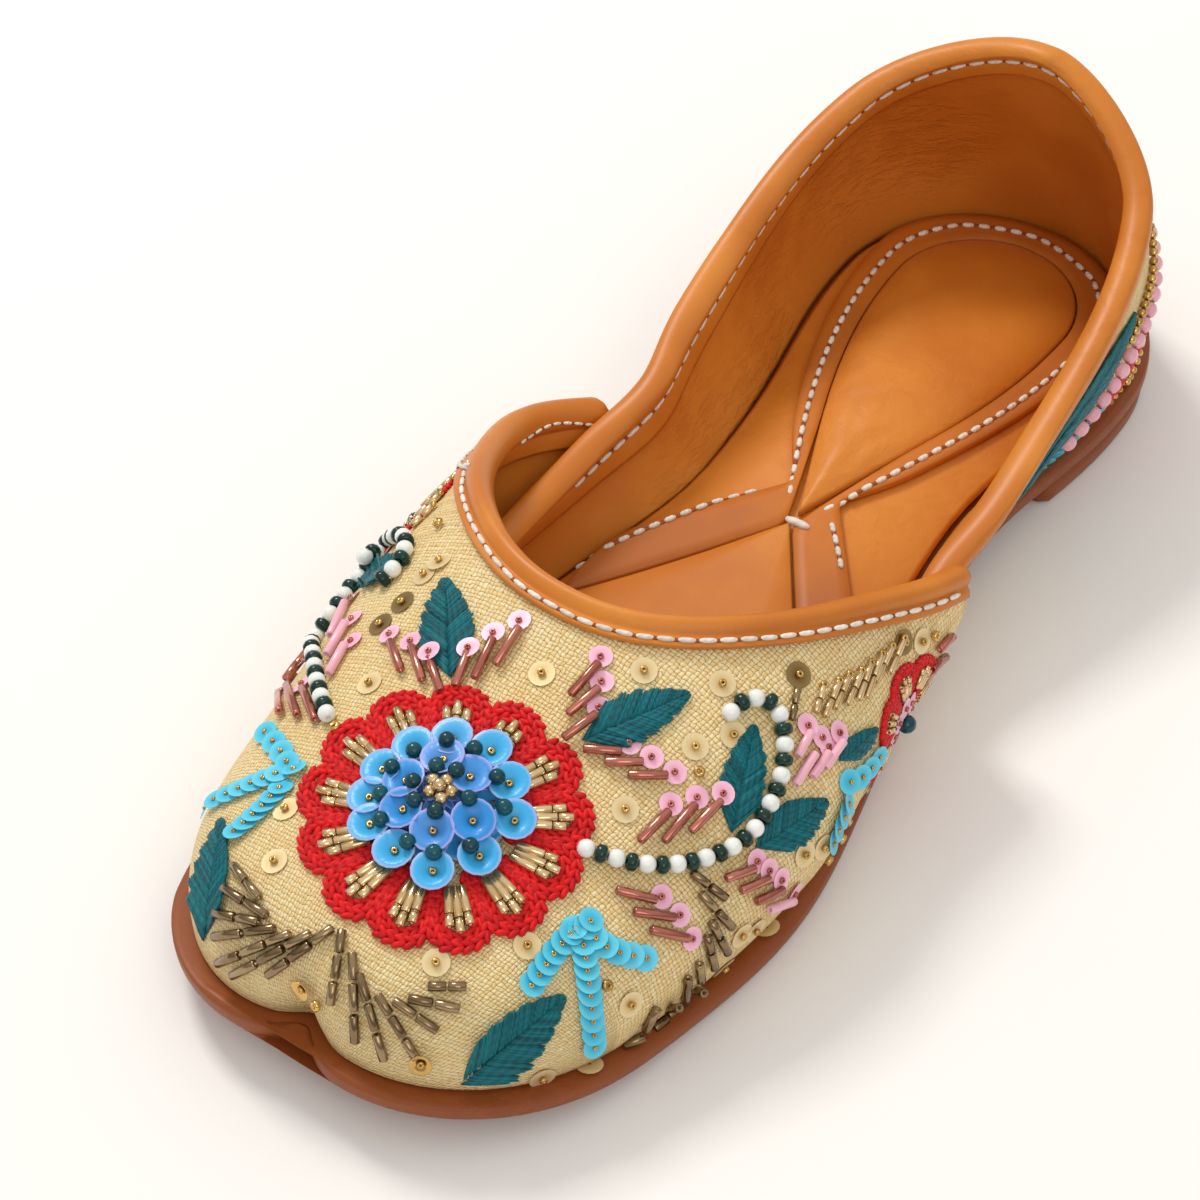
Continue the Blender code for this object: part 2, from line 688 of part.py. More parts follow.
def main():
    for old in list(bpy.data.objects):
        bpy.data.objects.remove(old, do_unlink=True)
    materials = add_materials()
    centre_on_floor([
        make_outsole(materials["sole_leather"]),
        make_heel_lift(materials["sole_leather"]),
        make_vamp(materials["raffia_cloth"]),
        make_quarter(materials["raffia_cloth"]),
        make_vamp_binding(materials["tan_leather"]),
        make_quarter_binding(materials["tan_leather"]),
        make_insole(materials["tan_leather"]),
        make_sock_band(materials["tan_leather"]),
        make_heel_pad(materials["tan_leather"]),
        make_front_sock(materials["tan_leather"]),
    ])


main()
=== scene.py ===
# %% [markdown]
# # Dressing a mojari
# A mojari is a soft leather slip-on with a cleft toe and an embroidered front. The solids of the shoe come
# ready made as a fixed frame, and this lesson gives them cloth, leather, stitches and beads. Sizes are in
# millimetres, and a few places on the front are named by where they show in a 1200 pixel picture of the shoe.

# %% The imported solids
import math
import random

import bmesh
import bpy
import numpy as np
from mathutils import Matrix, Quaternion, Vector
from mathutils.bvhtree import BVHTree


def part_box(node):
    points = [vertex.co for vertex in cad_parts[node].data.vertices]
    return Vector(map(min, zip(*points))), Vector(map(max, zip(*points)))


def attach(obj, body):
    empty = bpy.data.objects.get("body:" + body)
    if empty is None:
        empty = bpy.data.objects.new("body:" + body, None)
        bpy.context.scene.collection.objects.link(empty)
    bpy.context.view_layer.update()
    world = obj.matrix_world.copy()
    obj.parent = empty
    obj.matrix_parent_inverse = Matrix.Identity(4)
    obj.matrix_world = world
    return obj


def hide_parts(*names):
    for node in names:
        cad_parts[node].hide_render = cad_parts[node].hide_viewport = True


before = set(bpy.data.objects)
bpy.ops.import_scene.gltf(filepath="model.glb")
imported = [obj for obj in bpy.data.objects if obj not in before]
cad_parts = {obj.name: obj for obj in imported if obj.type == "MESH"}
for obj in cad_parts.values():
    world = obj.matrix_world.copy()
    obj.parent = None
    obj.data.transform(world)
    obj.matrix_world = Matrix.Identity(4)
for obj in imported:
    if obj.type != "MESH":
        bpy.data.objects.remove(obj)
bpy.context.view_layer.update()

MM = 0.001
scene = bpy.context.scene
random.seed(7)
print("nodes:", sorted(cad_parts))

# %% [markdown]
# ## The camera
# The picture looks down on the toe from the inner side, from far enough away that the heel hardly shrinks.
# Placing the camera first lets every bead be seated where its own line of sight meets the cloth. The point
# that it aims at is measured from the toe line of the sole, so it follows the shoe.

# %% Camera
SHOE_LENGTH = 245.0
SOLE_REACH_RIGHT = 47.154
PICTURE = 1200
FOCAL_PIXELS = 3476.9
SENSOR = 36.0
AZIMUTH, ELEVATION, ROLL = 34.33, 45.198, 0.548
CAMERA_DISTANCE = 585.86
CAMERA_AIM = Vector((-11.034, 100.874, 20.0))

sole_low, sole_high = (Vector(corner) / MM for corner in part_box("outsole"))
LAST = Vector((sole_high.x - SOLE_REACH_RIGHT, sole_high.y - SHOE_LENGTH, 0.0))


def on_shoe(x, y, z=0.0):
    """A place in metres from one in millimetres, y counted from the toe."""
    return (LAST + Vector((x, y, z))) * MM


azimuth, elevation = math.radians(AZIMUTH), math.radians(ELEVATION)
towards_camera = Vector((
    math.sin(azimuth) * math.cos(elevation),
    -math.cos(azimuth) * math.cos(elevation),
    math.sin(elevation),
))
turn = towards_camera.to_track_quat("Z", "Y") @ Quaternion((0, 0, 1), math.radians(ROLL))
camera = bpy.data.objects.new("camera", bpy.data.cameras.new("camera"))
camera.data.sensor_width = SENSOR
camera.data.lens = FOCAL_PIXELS * SENSOR / PICTURE
camera.data.clip_start = 0.01
camera.data.clip_end = 20.0
camera.location = on_shoe(*CAMERA_AIM) + towards_camera * CAMERA_DISTANCE * MM
camera.rotation_euler = turn.to_euler()
scene.collection.objects.link(camera)
scene.camera = camera
print("camera at", [round(value, 3) for value in camera.location])

# %% [markdown]
# ## Writing materials as sums
# A node tree for cloth or leather is mostly arithmetic on coordinates. A small class wraps a socket and
# overloads the operators, so that a weave reads as a formula, and one method adds every other kind of node.

# %% Shader arithmetic


class Wire:
    """A socket whose value varies over the surface."""

    def __init__(self, mix, socket):
        self.mix, self.socket = mix, socket

    def math(self, operation, *others):
        return self.mix.node("ShaderNodeMath", {"operation": operation}, dict(enumerate((self, *others))))

    def __add__(self, other): return self.math("ADD", other)
    def __radd__(self, other): return self.math("ADD", other)
    def __mul__(self, other): return self.math("MULTIPLY", other)
    def __rmul__(self, other): return self.math("MULTIPLY", other)
    def __sub__(self, other): return self.math("SUBTRACT", other)
    def __truediv__(self, other): return self.math("DIVIDE", other)
    def __pow__(self, other): return self.math("POWER", other)
    def __rsub__(self, other): return self.mix.node("ShaderNodeMath", {"operation": "SUBTRACT"}, {0: other, 1: self})
    def sine(self): return self.math("SINE")
    def fraction(self): return self.math("FRACT")
    def floor(self): return self.math("FLOOR")
    def size(self): return self.math("ABSOLUTE")
    def least(self, other): return self.math("MINIMUM", other)
    def most(self, other): return self.math("MAXIMUM", other)
    def even(self): return self.math("PINGPONG", 1.0)

    def between(self, low, high):
        """0 below low, 1 above high, smooth between."""
        return self.mix.node(
            "ShaderNodeMapRange",
            {"interpolation_type": "SMOOTHSTEP"},
            {"Value": self, "From Min": low, "From Max": high},
        )


class Finish:
    """A material under construction."""

    def __init__(self, name, **sockets):
        self.material = bpy.data.materials.new(name)
        self.material.use_nodes = True
        self.tree = self.material.node_tree
        self.shader = self.tree.nodes["Principled BSDF"]
        for socket, value in sockets.items():
            self.set(socket, value)

    def set(self, socket, value):
        """Sets or links a socket of the shader, its name written with underscores."""
        target = self.shader.inputs[socket.replace("_", " ")]
        if isinstance(value, Wire):
            self.tree.links.new(value.socket, target)
        else:
            target.default_value = (*value, 1.0) if isinstance(value, tuple) and len(value) == 3 else value

    def node(self, kind, settings=None, inputs=None, output=0):
        """Adds a node, sets it, fills its sockets and returns one output as a Wire."""
        made = self.tree.nodes.new(kind)
        for key, value in (settings or {}).items():
            setattr(made, key, value)
        for key, value in (inputs or {}).items():
            if isinstance(value, Wire):
                self.tree.links.new(value.socket, made.inputs[key])
            else:
                made.inputs[key].default_value = value
        return Wire(self, made.outputs[output])

    def place(self):
        """Object coordinates in millimetres."""
        coordinates = self.node("ShaderNodeTexCoord", output="Object")
        return self.node("ShaderNodeVectorMath", {"operation": "SCALE"}, {0: coordinates, "Scale": 1 / MM})

    def stretched(self, vector, by):
        return self.node("ShaderNodeVectorMath", {"operation": "MULTIPLY"}, {0: vector, 1: by})

    def attribute(self, name, output="Fac"):
        return self.node("ShaderNodeAttribute", {"attribute_name": name}, output=output)

    def parts(self, vector):
        split = self.tree.nodes.new("ShaderNodeSeparateXYZ")
        self.tree.links.new(vector.socket, split.inputs[0])
        return [Wire(self, output) for output in split.outputs]

    def noise(self, vector, scale, detail=3.0, rough=0.5, warp=0.0):
        return self.node("ShaderNodeTexNoise", None, {
            "Vector": vector, "Scale": scale, "Detail": detail, "Roughness": rough, "Distortion": warp,
        })

    def cells(self, vector, scale, feature="F1"):
        return self.node("ShaderNodeTexVoronoi", {"feature": feature}, {"Vector": vector, "Scale": scale})

    def blend(self, factor, low, high):
        """A colour between two colours."""
        sockets = {0: factor, 6: low, 7: high}
        filled = {key: (*value, 1.0) if isinstance(value, tuple) else value for key, value in sockets.items()}
        return self.node("ShaderNodeMix", {"data_type": "RGBA"}, filled, output=2)

    def bump(self, height, distance, strength=1.0):
        """Relief from a height of 0 to 1 that is distance millimetres deep."""
        return self.node("ShaderNodeBump", None, {
            "Height": height, "Distance": distance * MM, "Strength": strength,
        })


# %% [markdown]
# ## Raffia cloth
# The front and back are faced with a coarse basket weave of pale raffia. Each crossing shows either the
# warp or the weft as a small rounded pillow, so the height is one of two profiles chosen by a checker,
# and noise makes the straws wander. The gaps between the pillows are painted dark as shade. The pattern
# lies on a UV map that follows the cloth round the foot.

# %% Raffia
STRAW_PITCH = 0.72
RAFFIA_PALE, RAFFIA_GOLD, RAFFIA_GAP_SHADE = (1.0, 0.85, 0.49), (0.86, 0.56, 0.18), (0.33, 0.16, 0.035)


def raffia_finish():
    raffia = Finish("raffia_cloth", Roughness=0.55, Specular_IOR_Level=0.4)
    sheet = raffia.node("ShaderNodeUVMap", {"uv_map": "cloth"})
    sheet = raffia.node("ShaderNodeVectorMath", {"operation": "SCALE"}, {0: sheet, "Scale": 100.0 / STRAW_PITCH})
    wander = raffia.noise(sheet, 0.38, 3.0, 0.6)
    across, along, _ = raffia.parts(sheet)
    across = across + (wander - 0.5) * 1.5
    along = along + (raffia.noise(sheet, 0.45, 3.0, 0.6, warp=0.4) - 0.5) * 1.5
    over = ((across.floor() + along.floor()).math("MODULO", 2.0)).size()
    pillow_a = 1 - ((across.fraction() - 0.5) * 2).size() ** 2.2
    pillow_b = 1 - ((along.fraction() - 0.5) * 2).size() ** 2.2
    warp = pillow_a * (0.45 + 0.55 * pillow_b)
    weft = pillow_b * (0.45 + 0.55 * pillow_a)
    height = over * warp + (1 - over) * weft
    fibre_a = raffia.noise(raffia.stretched(sheet, (7.0, 0.9, 1.0)), 1.0, 3.0)
    fibre_b = raffia.noise(raffia.stretched(sheet, (0.9, 7.0, 1.0)), 1.0, 3.0)
    fibre = over * fibre_a + (1 - over) * fibre_b
    straw = raffia.node("ShaderNodeTexWhiteNoise", {"noise_dimensions": "1D"}, {
        "W": over * across.floor() + (1 - over) * (along.floor() + 71.3),
    })
    tone = raffia.blend(straw * 0.55 + fibre.between(0.35, 0.7) * 0.4, RAFFIA_PALE, RAFFIA_GOLD)
    # Painted shade: where the height is low, in the gaps between the straws, the colour turns dark.
    tone = raffia.blend(height.between(0.34, 0.04), tone, RAFFIA_GAP_SHADE)
    raffia.set("Base_Color", tone)
    raffia.set("Roughness", 0.42 + 0.3 * fibre)
    raffia.set("Normal", raffia.bump(height + fibre * 0.45, 0.3, 0.85))
    return raffia.material


# %% [markdown]
# ## Leather
# Binding, lining and sock are cut from one smooth tan hide. It has a fine pebble, broad clouds of lighter
# and darker dye, and a soft waxed shine. The lining is drier and more wrinkled than the polished binding,
# so one function makes each version from its own wrinkle depth and shine. The valleys of the wrinkles are
# painted darker as shade, and the pores darker as grain.

# %% Leather
# The third colour of each hide is the painted shade in its wrinkle valleys and the colour of its pores.
TAN_LIGHT, TAN_MIDDLE, TAN_SHADE_AND_PORES = (0.68, 0.235, 0.026), (0.56, 0.165, 0.014), (0.26, 0.055, 0.006)
SOLE_LIGHT, SOLE_SHADE_AND_PORES = (0.27, 0.066, 0.013), (0.10, 0.022, 0.005)
STRIP_BROWN = (0.44, 0.120, 0.012)


def leather_finish(name, light, middle, deep, wrinkle, shine, grain=0.05):
    hide = Finish(name, Specular_IOR_Level=0.3, Coat_Roughness=0.3, Coat_IOR=1.4)
    place = hide.place()
    clouds = hide.noise(place, 0.03, 3.0, 0.55)
    pebble = hide.cells(place, 1.7)
    pores = hide.noise(place, 2.6, 2.0)
    folds = hide.noise(hide.stretched(place, (0.55, 0.55, 1.6)), 0.42, 3.0, 0.6, warp=0.35)
    where = hide.noise(place, 0.022, 1.0).between(0.42, 0.62)
    valley = folds.between(0.56, 0.40) * where
    tone = hide.blend(clouds.between(0.35, 0.68), middle, light)
    # Painted shade: the wrinkle valleys are darkened towards the deep colour, which also darkens the pores as grain.
    tone = hide.blend(valley * (0.35 * wrinkle) + pores.between(0.6, 0.8) * 0.12, tone, deep)
    hide.set("Base_Color", tone)
    hide.set("Roughness", 0.50 - 0.16 * shine + 0.12 * clouds)
    hide.set("Coat_Weight", 0.5 * shine - 0.1 * valley)
    relief = hide.bump(1 - valley, 0.30 * wrinkle)
    hide.set("Normal", hide.node("ShaderNodeBump", None, {
        "Height": (1 - pebble) * 0.6 + pores * 0.4, "Distance": grain * MM, "Strength": 0.7, "Normal": relief,
    }))
    return hide.material


binding_hide = leather_finish("tan_binding", TAN_LIGHT, TAN_MIDDLE, TAN_SHADE_AND_PORES, 0.1, 0.55, 0.03)
lining_hide = leather_finish("tan_lining", TAN_LIGHT, TAN_MIDDLE, TAN_SHADE_AND_PORES, 0.35, 0.30, 0.06)
sock_hide = leather_finish("tan_sock", TAN_LIGHT, TAN_MIDDLE, TAN_SHADE_AND_PORES, 0.15, 0.45, 0.04)
strip_hide = leather_finish("tan_strip", TAN_MIDDLE, STRIP_BROWN, TAN_SHADE_AND_PORES, 0.1, 0.25, 0.03)
sole_hide = leather_finish("sole_brown", SOLE_LIGHT, SOLE_LIGHT, SOLE_SHADE_AND_PORES, 0.35, 0.35, 0.06)
raffia = raffia_finish()
print("finishes:", len(bpy.data.materials))

# %% [markdown]
# ## Smooth copies of the solids
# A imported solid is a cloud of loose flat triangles. A copy is merged, its triangles are joined into quads,
# its sharp rims are creased, and a Subdivision Surface then rounds it. The solid itself stays hidden below,
# and the copy stands for it.

# %% Smoothing a solid
RIM_ANGLE = math.radians(48)


def show(name, mesh, finishes, slot, *replaced):
    """Links a finished mesh that rides with the shoe."""
    made = bpy.data.objects.new(name, mesh)
    for finish in finishes:
        mesh.materials.append(finish)
    scene.collection.objects.link(made)
    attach(made, "root")
    if replaced:
        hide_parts(*replaced)
    return made


def merged_copy(node):
    """The solid as a bmesh of quads with its rims creased."""
    shape = bmesh.new()
    shape.from_mesh(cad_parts[node].data)
    bmesh.ops.remove_doubles(shape, verts=shape.verts, dist=0.00002)
    bmesh.ops.join_triangles(
        shape, faces=shape.faces, cmp_seam=False, cmp_sharp=False, cmp_uvs=False, cmp_vcols=False,
        cmp_materials=False, angle_face_threshold=math.radians(30), angle_shape_threshold=math.radians(70),
    )
    crease = shape.edges.layers.float.new("crease_edge")
    for edge in shape.edges:
        if edge.is_manifold and edge.calc_face_angle(0.0) > RIM_ANGLE:
            edge[crease] = 0.7
    return shape


def rounded(shape, name, levels):
    """The bmesh as a mesh after a Subdivision Surface."""
    draft = bpy.data.meshes.new(name + "_draft")
    shape.to_mesh(draft)
    shape.free()
    carrier = bpy.data.objects.new(name + "_draft", draft)
    scene.collection.objects.link(carrier)
    smooth = carrier.modifiers.new("round", "SUBSURF")
    smooth.levels = smooth.render_levels = levels
    bpy.context.view_layer.update()
    done = bpy.data.meshes.new_from_object(carrier.evaluated_get(bpy.context.evaluated_depsgraph_get()))
    bpy.data.objects.remove(carrier, do_unlink=True)
    done.name = name
    done.materials.clear()
    done.shade_smooth()
    return done


def smooth_piece(name, node, finish, slot, levels=2):
    mesh = rounded(merged_copy(node), name, levels)
    return show(name, mesh, [finish], slot, node)


sole = smooth_piece("sole", "outsole", sole_hide, "sole_leather")
heel = smooth_piece("heel", "heel_lift", sole_hide, "sole_leather")
print("sole faces:", len(sole.data.polygons))

# %% [markdown]
# ## Cloth outside, leather inside
# Each upper is a wall with raffia on its outer face and lining on its inner face. The outer faces are the
# ones that look away from the middle of the foot. The UV map is the distance along the shoe and the
# angle round it, so that the straws run lengthwise and round the foot as in a cut panel.

# %% Uppers
WRAP_RADIUS, WRAP_CENTRE, FOOT_AXIS = 46.0, -6.0, 14.0
NOSE_FROM, NOSE_CENTRE, NOSE_RADIUS = 32.0, 4.0, 26.0
HEEL_FROM, HEEL_RADIUS = 205.0, 33.0


def front_sheet(x, y, z):
    """Across and along the front, unrolled round the foot and over the nose of the toe."""
    if y < NOSE_FROM:
        y = NOSE_FROM - math.atan2(NOSE_FROM - y, z - NOSE_CENTRE) * NOSE_RADIUS
    return math.atan2(x, z - WRAP_CENTRE) * WRAP_RADIUS, y


def back_sheet(x, y, z):
    """Height and distance round the back."""
    if y > HEEL_FROM:
        y = HEEL_FROM + math.atan2(y - HEEL_FROM, abs(x)) * HEEL_RADIUS
    return z, y


def dress_upper(name, node, sheet_of):
    mesh = rounded(merged_copy(node), name, 2)
    sheet = mesh.uv_layers.new(name="cloth")
    front, back = on_shoe(0, 42).y, on_shoe(0, HEEL_FROM).y
    for polygon in mesh.polygons:
        core = Vector((LAST.x * MM, min(max(polygon.center.y, front), back), FOOT_AXIS * MM))
        polygon.material_index = 0 if (polygon.center - core).dot(polygon.normal) > 0 else 1
        for corner in polygon.loop_indices:
            place = mesh.vertices[mesh.loops[corner].vertex_index].co / MM - LAST
            across, along = sheet_of(*place)
            sheet.data[corner].uv = (across / 100.0, along / 100.0)
    return show(name, mesh, [raffia, lining_hide], "raffia_cloth", node)


vamp = dress_upper("vamp_cloth", "vamp", front_sheet)
quarter = dress_upper("back_cloth", "quarter", back_sheet)
throat_roll = smooth_piece("throat_binding", "vamp_binding", binding_hide, "tan_leather")
collar_roll = smooth_piece("collar_binding", "quarter_binding", binding_hide, "tan_leather")
print("cloth faces:", len(vamp.data.polygons), len(quarter.data.polygons))

# %% [markdown]
# ## Sock and pad
# A leather sock covers the footbed. A teardrop pad lies under the heel, and a strip sewn round it crosses at
# the pad's point and runs forwards on both sides of the front panel.

# %% Sock
footbed = smooth_piece("footbed", "insole", sock_hide, "tan_leather", 1)
sock_strip = smooth_piece("sock_strip", "sock_band", strip_hide, "tan_leather")
front_panel = smooth_piece("front_panel", "front_sock", sock_hide, "tan_leather")
pad = smooth_piece("heel_cushion", "heel_pad", sock_hide, "tan_leather")

# %% [markdown]
# ## Creases
# Wear leaves a few soft folds where the lining bends behind the foot's opening and at the point of the heel
# cushion. Each is pressed in along its own line, as a trough with a low ridge on both sides.

# %% Creases
TROUGH, RIDGE, STEEP = 0.55, 0.22, 2.2
LINING_CREASE, PAD_CREASE = 3.4, 2.6
ABOVE = 60.0


def tree_of(*pieces):
    """A search tree over the faces of the pieces."""
    points, faces = [], []
    for piece in pieces:
        first = len(points)
        points += [vertex.co.copy() for vertex in piece.data.vertices]
        faces += [[first + corner for corner in polygon.vertices] for polygon in piece.data.polygons]
    return BVHTree.FromPolygons(points, faces)


def curve_through(points, pitch):
    """Even steps along a smooth curve through the points."""
    points = [Vector(point) for point in points]
    ends = [points[0] * 2 - points[1], *points, points[-1] * 2 - points[-2]]
    dense = []
    for a, b, c, d in zip(ends, ends[1:], ends[2:], ends[3:]):
        for t in (step / 10 for step in range(10)):
            dense.append(b + (c - a + (a * 2 - b * 5 + c * 4 - d + (b * 3 - c * 3 + d - a) * t) * t) * (t / 2))
    dense.append(points[-1])
    walked = np.cumsum([0.0] + [(b - a).length for a, b in zip(dense, dense[1:])])
    marks = np.linspace(0.0, walked[-1], max(1, round(walked[-1] / pitch)) + 1)
    table = np.array(dense)
    return [Vector(np.interp(mark, walked, column) for column in table.T) for mark in marks]


def from_above(tree, x, y):
    """The point and normal that a ray straight down meets."""
    point, normal, _, _ = tree.ray_cast(on_shoe(x, y, ABOVE), Vector((0, 0, -1)))
    return point, normal


def crease(piece, marks, width, depth, inwards):
    """Presses a trough with ridges beside it into the faces of a piece that look along inwards."""
    line = np.array(marks)
    inwards = np.array(inwards)
    count = len(piece.data.vertices)
    points, normals = np.empty(count * 3), np.empty(count * 3)
    piece.data.vertices.foreach_get("co", points)
    piece.data.vertices.foreach_get("normal", normals)
    points, normals = points.reshape(-1, 3), normals.reshape(-1, 3)
    gaps = np.linalg.norm(points[:, None] - line[None], axis=2) / MM
    away = gaps.min(axis=1) / width
    fade = np.sin(math.pi * (gaps.argmin(axis=1) + 0.5) / len(line))
    bend = RIDGE * np.exp(-(((away - 1.0) * STEEP) ** 2)) - TROUGH * np.exp(-((away * STEEP) ** 2))
    looking = normals @ inwards > 0.3
    points += normals * (bend * fade * looking * depth * MM)[:, None]
    piece.data.vertices.foreach_set("co", points.ravel())
    piece.data.update()


LINING_CREASES = (
    (-1, [(138, 22), (147, 29), (154, 38)], 1.0), (-1, [(150, 20), (158, 26), (166, 31)], 0.8),
    (-1, [(168, 24), (177, 32), (182, 42)], 0.9), (-1, [(190, 20), (195, 32), (196, 44)], 0.7),
    (1, [(146, 22), (156, 29), (164, 33)], 1.0), (1, [(176, 20), (182, 32), (186, 42)], 0.7),
)
wall_tree = tree_of(quarter)
for side, marks, depth in LINING_CREASES:
    outward = Vector((side, 0, 0))
    line = []
    for along, height in curve_through(marks, 1.0):
        point, _, _, _ = wall_tree.ray_cast(on_shoe(0.0, along, height), outward)
        if point:
            line.append(point)
    crease(quarter, line, LINING_CREASE, depth, -outward)
PAD_CREASES = (
    ([(4.0, 160), (-1.0, 166), (-4.0, 175)], 0.5), ([(0.5, 156), (2.5, 166), (7.0, 176)], 0.4),
    ([(-6.5, 172), (-1.0, 178), (4.0, 180)], 0.3),
)
pad_tree = tree_of(pad)
for marks, depth in PAD_CREASES:
    line = [from_above(pad_tree, x, y)[0] for x, y in curve_through(marks, 1.0)]
    crease(pad, [point for point in line if point], PAD_CREASE, depth, (0, 0, 1))
print("creases:", len(LINING_CREASES) + len(PAD_CREASES))

# %% [markdown]
# ## Finding the cloth
# Every stitch and bead has to rest on the surface that carries it. A search tree over a piece answers where
# a ray meets it. Seats on the front are asked for by a point of the picture, and those that the picture
# hides are asked for from outside the foot, by their distance from the toe and their height.

# %% Seats
EYE = camera.location.copy()
front_tree, cloth_tree = tree_of(vamp), tree_of(vamp, quarter)
throat_tree, collar_tree = tree_of(throat_roll), tree_of(collar_roll)


def sight(across, down):
    """The direction from the camera through a point of the picture."""
    return (turn @ Vector((across - PICTURE / 2, PICTURE / 2 - down, -FOCAL_PIXELS))).normalized()


def seat(across, down, tree=front_tree):
    """The point and outward normal of the cloth behind a point of the picture, or beside it past the edge."""
    ray = sight(across, down)
    point, normal, _, _ = tree.ray_cast(EYE, ray)
    reach = CAMERA_DISTANCE * MM
    while point is None:
        near, normal, _, gap = tree.find_nearest(EYE + ray * reach)
        step = (near - EYE).dot(ray) - reach
        reach += step
        if abs(step) < 0.0002:
            point = near
    return point, normal


def flank(along, height, side=1, tree=cloth_tree):
    """A seat on the outside of the foot. Behind the heel's middle the rays fan out round the back."""
    middle = min(along, HEEL_FROM)
    swing = side * math.radians(min(90.0, (along - middle) * 2.0))
    outward = Vector((math.cos(swing) * side, abs(math.sin(swing)), 0.0))
    start = on_shoe(0.0, middle, height) + outward * 0.2
    point, normal, _, _ = tree.ray_cast(start, -outward)
    if point is None:
        point, normal, _, _ = tree.find_nearest(start - outward * 0.16)
    return point, normal


def on_left(along, height):
    return flank(along, height, -1)


FLOWER_HEART = (445, 807)
print("middle of the flower:", [round(value, 4) for value in seat(*FLOWER_HEART)[0]])

# %% [markdown]
# ## Small things by the hundred
# Beads, tubes, spangles and single stitches are turned on a lathe once, as shapes of a few dozen faces, and
# their copies are joined into one mesh for each kind. Each copy keeps a tone of its own, and the place of
# a point on the turned shape, for the materials to read.

# %% Lathe and scatter


def lathe(profile, steps, lying=False):
    """Turns (radius, height) points about Z, and lays the shape along Y when it is lying."""
    shape = bmesh.new()
    ring = [shape.verts.new((radius, 0.0, height)) for radius, height in profile]
    pairs = list(zip(ring, ring[1:]))
    if profile[0][0] > 0:
        pairs.append((ring[-1], ring[0]))
    edges = [shape.edges.new(pair) for pair in pairs]
    bmesh.ops.spin(
        shape, geom=ring + edges, cent=(0, 0, 0), axis=(0, 0, 1), angle=math.tau, steps=steps, use_merge=True,
    )
    bmesh.ops.remove_doubles(shape, verts=shape.verts, dist=1e-5)
    bmesh.ops.recalc_face_normals(shape, faces=shape.faces)
    points = np.array([vertex.co for vertex in shape.verts])
    faces = [[corner.index for corner in face.verts] for face in shape.faces]
    shape.free()
    low, high = points[:, 2].min(), points[:, 2].max()
    marks = {
        "rim": np.hypot(points[:, 0], points[:, 1]) / max(radius for radius, _ in profile),
        "along": (points[:, 2] - low) / (high - low),
        "around": np.arctan2(points[:, 1], points[:, 0]) / math.tau + 0.5,
    }
    if lying:
        points = points[:, (1, 2, 0)]
    return points, faces, marks


def stand(point, normal, along, size=(1, 1, 1)):
    """A matrix that stands a shape in millimetres on a point, its Z up the normal and its Y turned along."""
    up = normal.normalized()
    side = along.cross(up).normalized()
    columns = [axis * scale * MM for axis, scale in zip((side, up.cross(side), up), size)]
    placed = Matrix(columns).transposed().to_4x4()
    placed.translation = point
    return placed


def scatter(name, template, places, finish, slot, flat=False):
    """One mesh of a copy of the template for each matrix."""
    points, faces, marks = template
    count = len(points)
    moved = [points @ np.array(place.to_3x3()).T + np.array(place.translation) for place in places]
    mesh = bpy.data.meshes.new(name)
    copies = [[corner + first * count for corner in face] for first in range(len(places)) for face in faces]
    mesh.from_pydata(np.concatenate(moved).tolist(), [], copies)
    tones = np.repeat([random.random() for _ in places], count)
    for key, values in {"tone": tones, **{key: np.tile(mark, len(places)) for key, mark in marks.items()}}.items():
        mesh.attributes.new(key, "FLOAT", "POINT").data.foreach_set("value", values.astype(np.float32))
    if not flat:
        mesh.shade_smooth()
    print(name, len(places), "copies")
    return show(name, mesh, [finish], slot)


def round_profile(hole, steps):
    """Half a circle from one end of a bead to the other, with room for its hole."""
    first = math.asin(hole)
    turns = np.linspace(first, math.pi - first, steps)
    return [(math.sin(turned), -math.cos(turned)) for turned in turns]


STITCH = lathe([(0, -0.5), (0.62, -0.44), (1, -0.22), (1, 0.22), (0.62, 0.44), (0, 0.5)], 7, lying=True)
BEAD = lathe(round_profile(0.22, 8), 12, lying=True)
DISC = lathe([(0.25, -0.85), (0.7, -1), (0.95, -0.62), (1, 0), (0.95, 0.62), (0.7, 1), (0.25, 0.85)], 12, lying=True)
SEED = lathe([(0.3, -0.3), (0.65, -0.55), (1, -0.25), (1, 0.25), (0.65, 0.55), (0.3, 0.3)], 9)
TUBE = lathe([(0.45, -0.5), (0.8, -0.5), (1, -0.47), (1, 0.47), (0.8, 0.5), (0.45, 0.5)], 8, lying=True)
SPANGLE = lathe([(0.15, 0.0), (1, 0.03), (1, 0.07), (0.15, 0.045)], 16)
CUP = lathe([(0.13, 0.0), (0.5, 0.06), (0.84, 0.2), (1, 0.36), (0.96, 0.4), (0.5, 0.11), (0.13, 0.05)], 16)

# %% [markdown]
# ## Threads, glass and spangles
# Silk and cotton are twisted, which shows as slanting ridges round each stitch, with painted shade in the
# grooves between the ridges. Glass beads are plain and glossy, tubes are lined with metal, and a spangle is a
# thin sheet that is paler towards its rim.

# %% Small finishes


def thread_finish(name, light, dark, turns, roughness=0.55):
    thread = Finish(name, Sheen_Weight=0.08, Sheen_Roughness=0.4, Specular_IOR_Level=0.25)
    twist = ((thread.attribute("along") * turns + thread.attribute("around")) * math.tau).sine() * 0.5 + 0.5
    # Painted shade: the grooves between the twisted ridges are darker, on top of a random tone for each stitch.
    tone = thread.blend(thread.attribute("tone") * 0.65 + (1 - twist) * 0.35, light, dark)
    thread.set("Base_Color", tone)
    thread.set("Roughness", roughness + 0.15 * twist)
    thread.set("Normal", thread.bump(twist, 0.12, 0.7))
    return thread.material


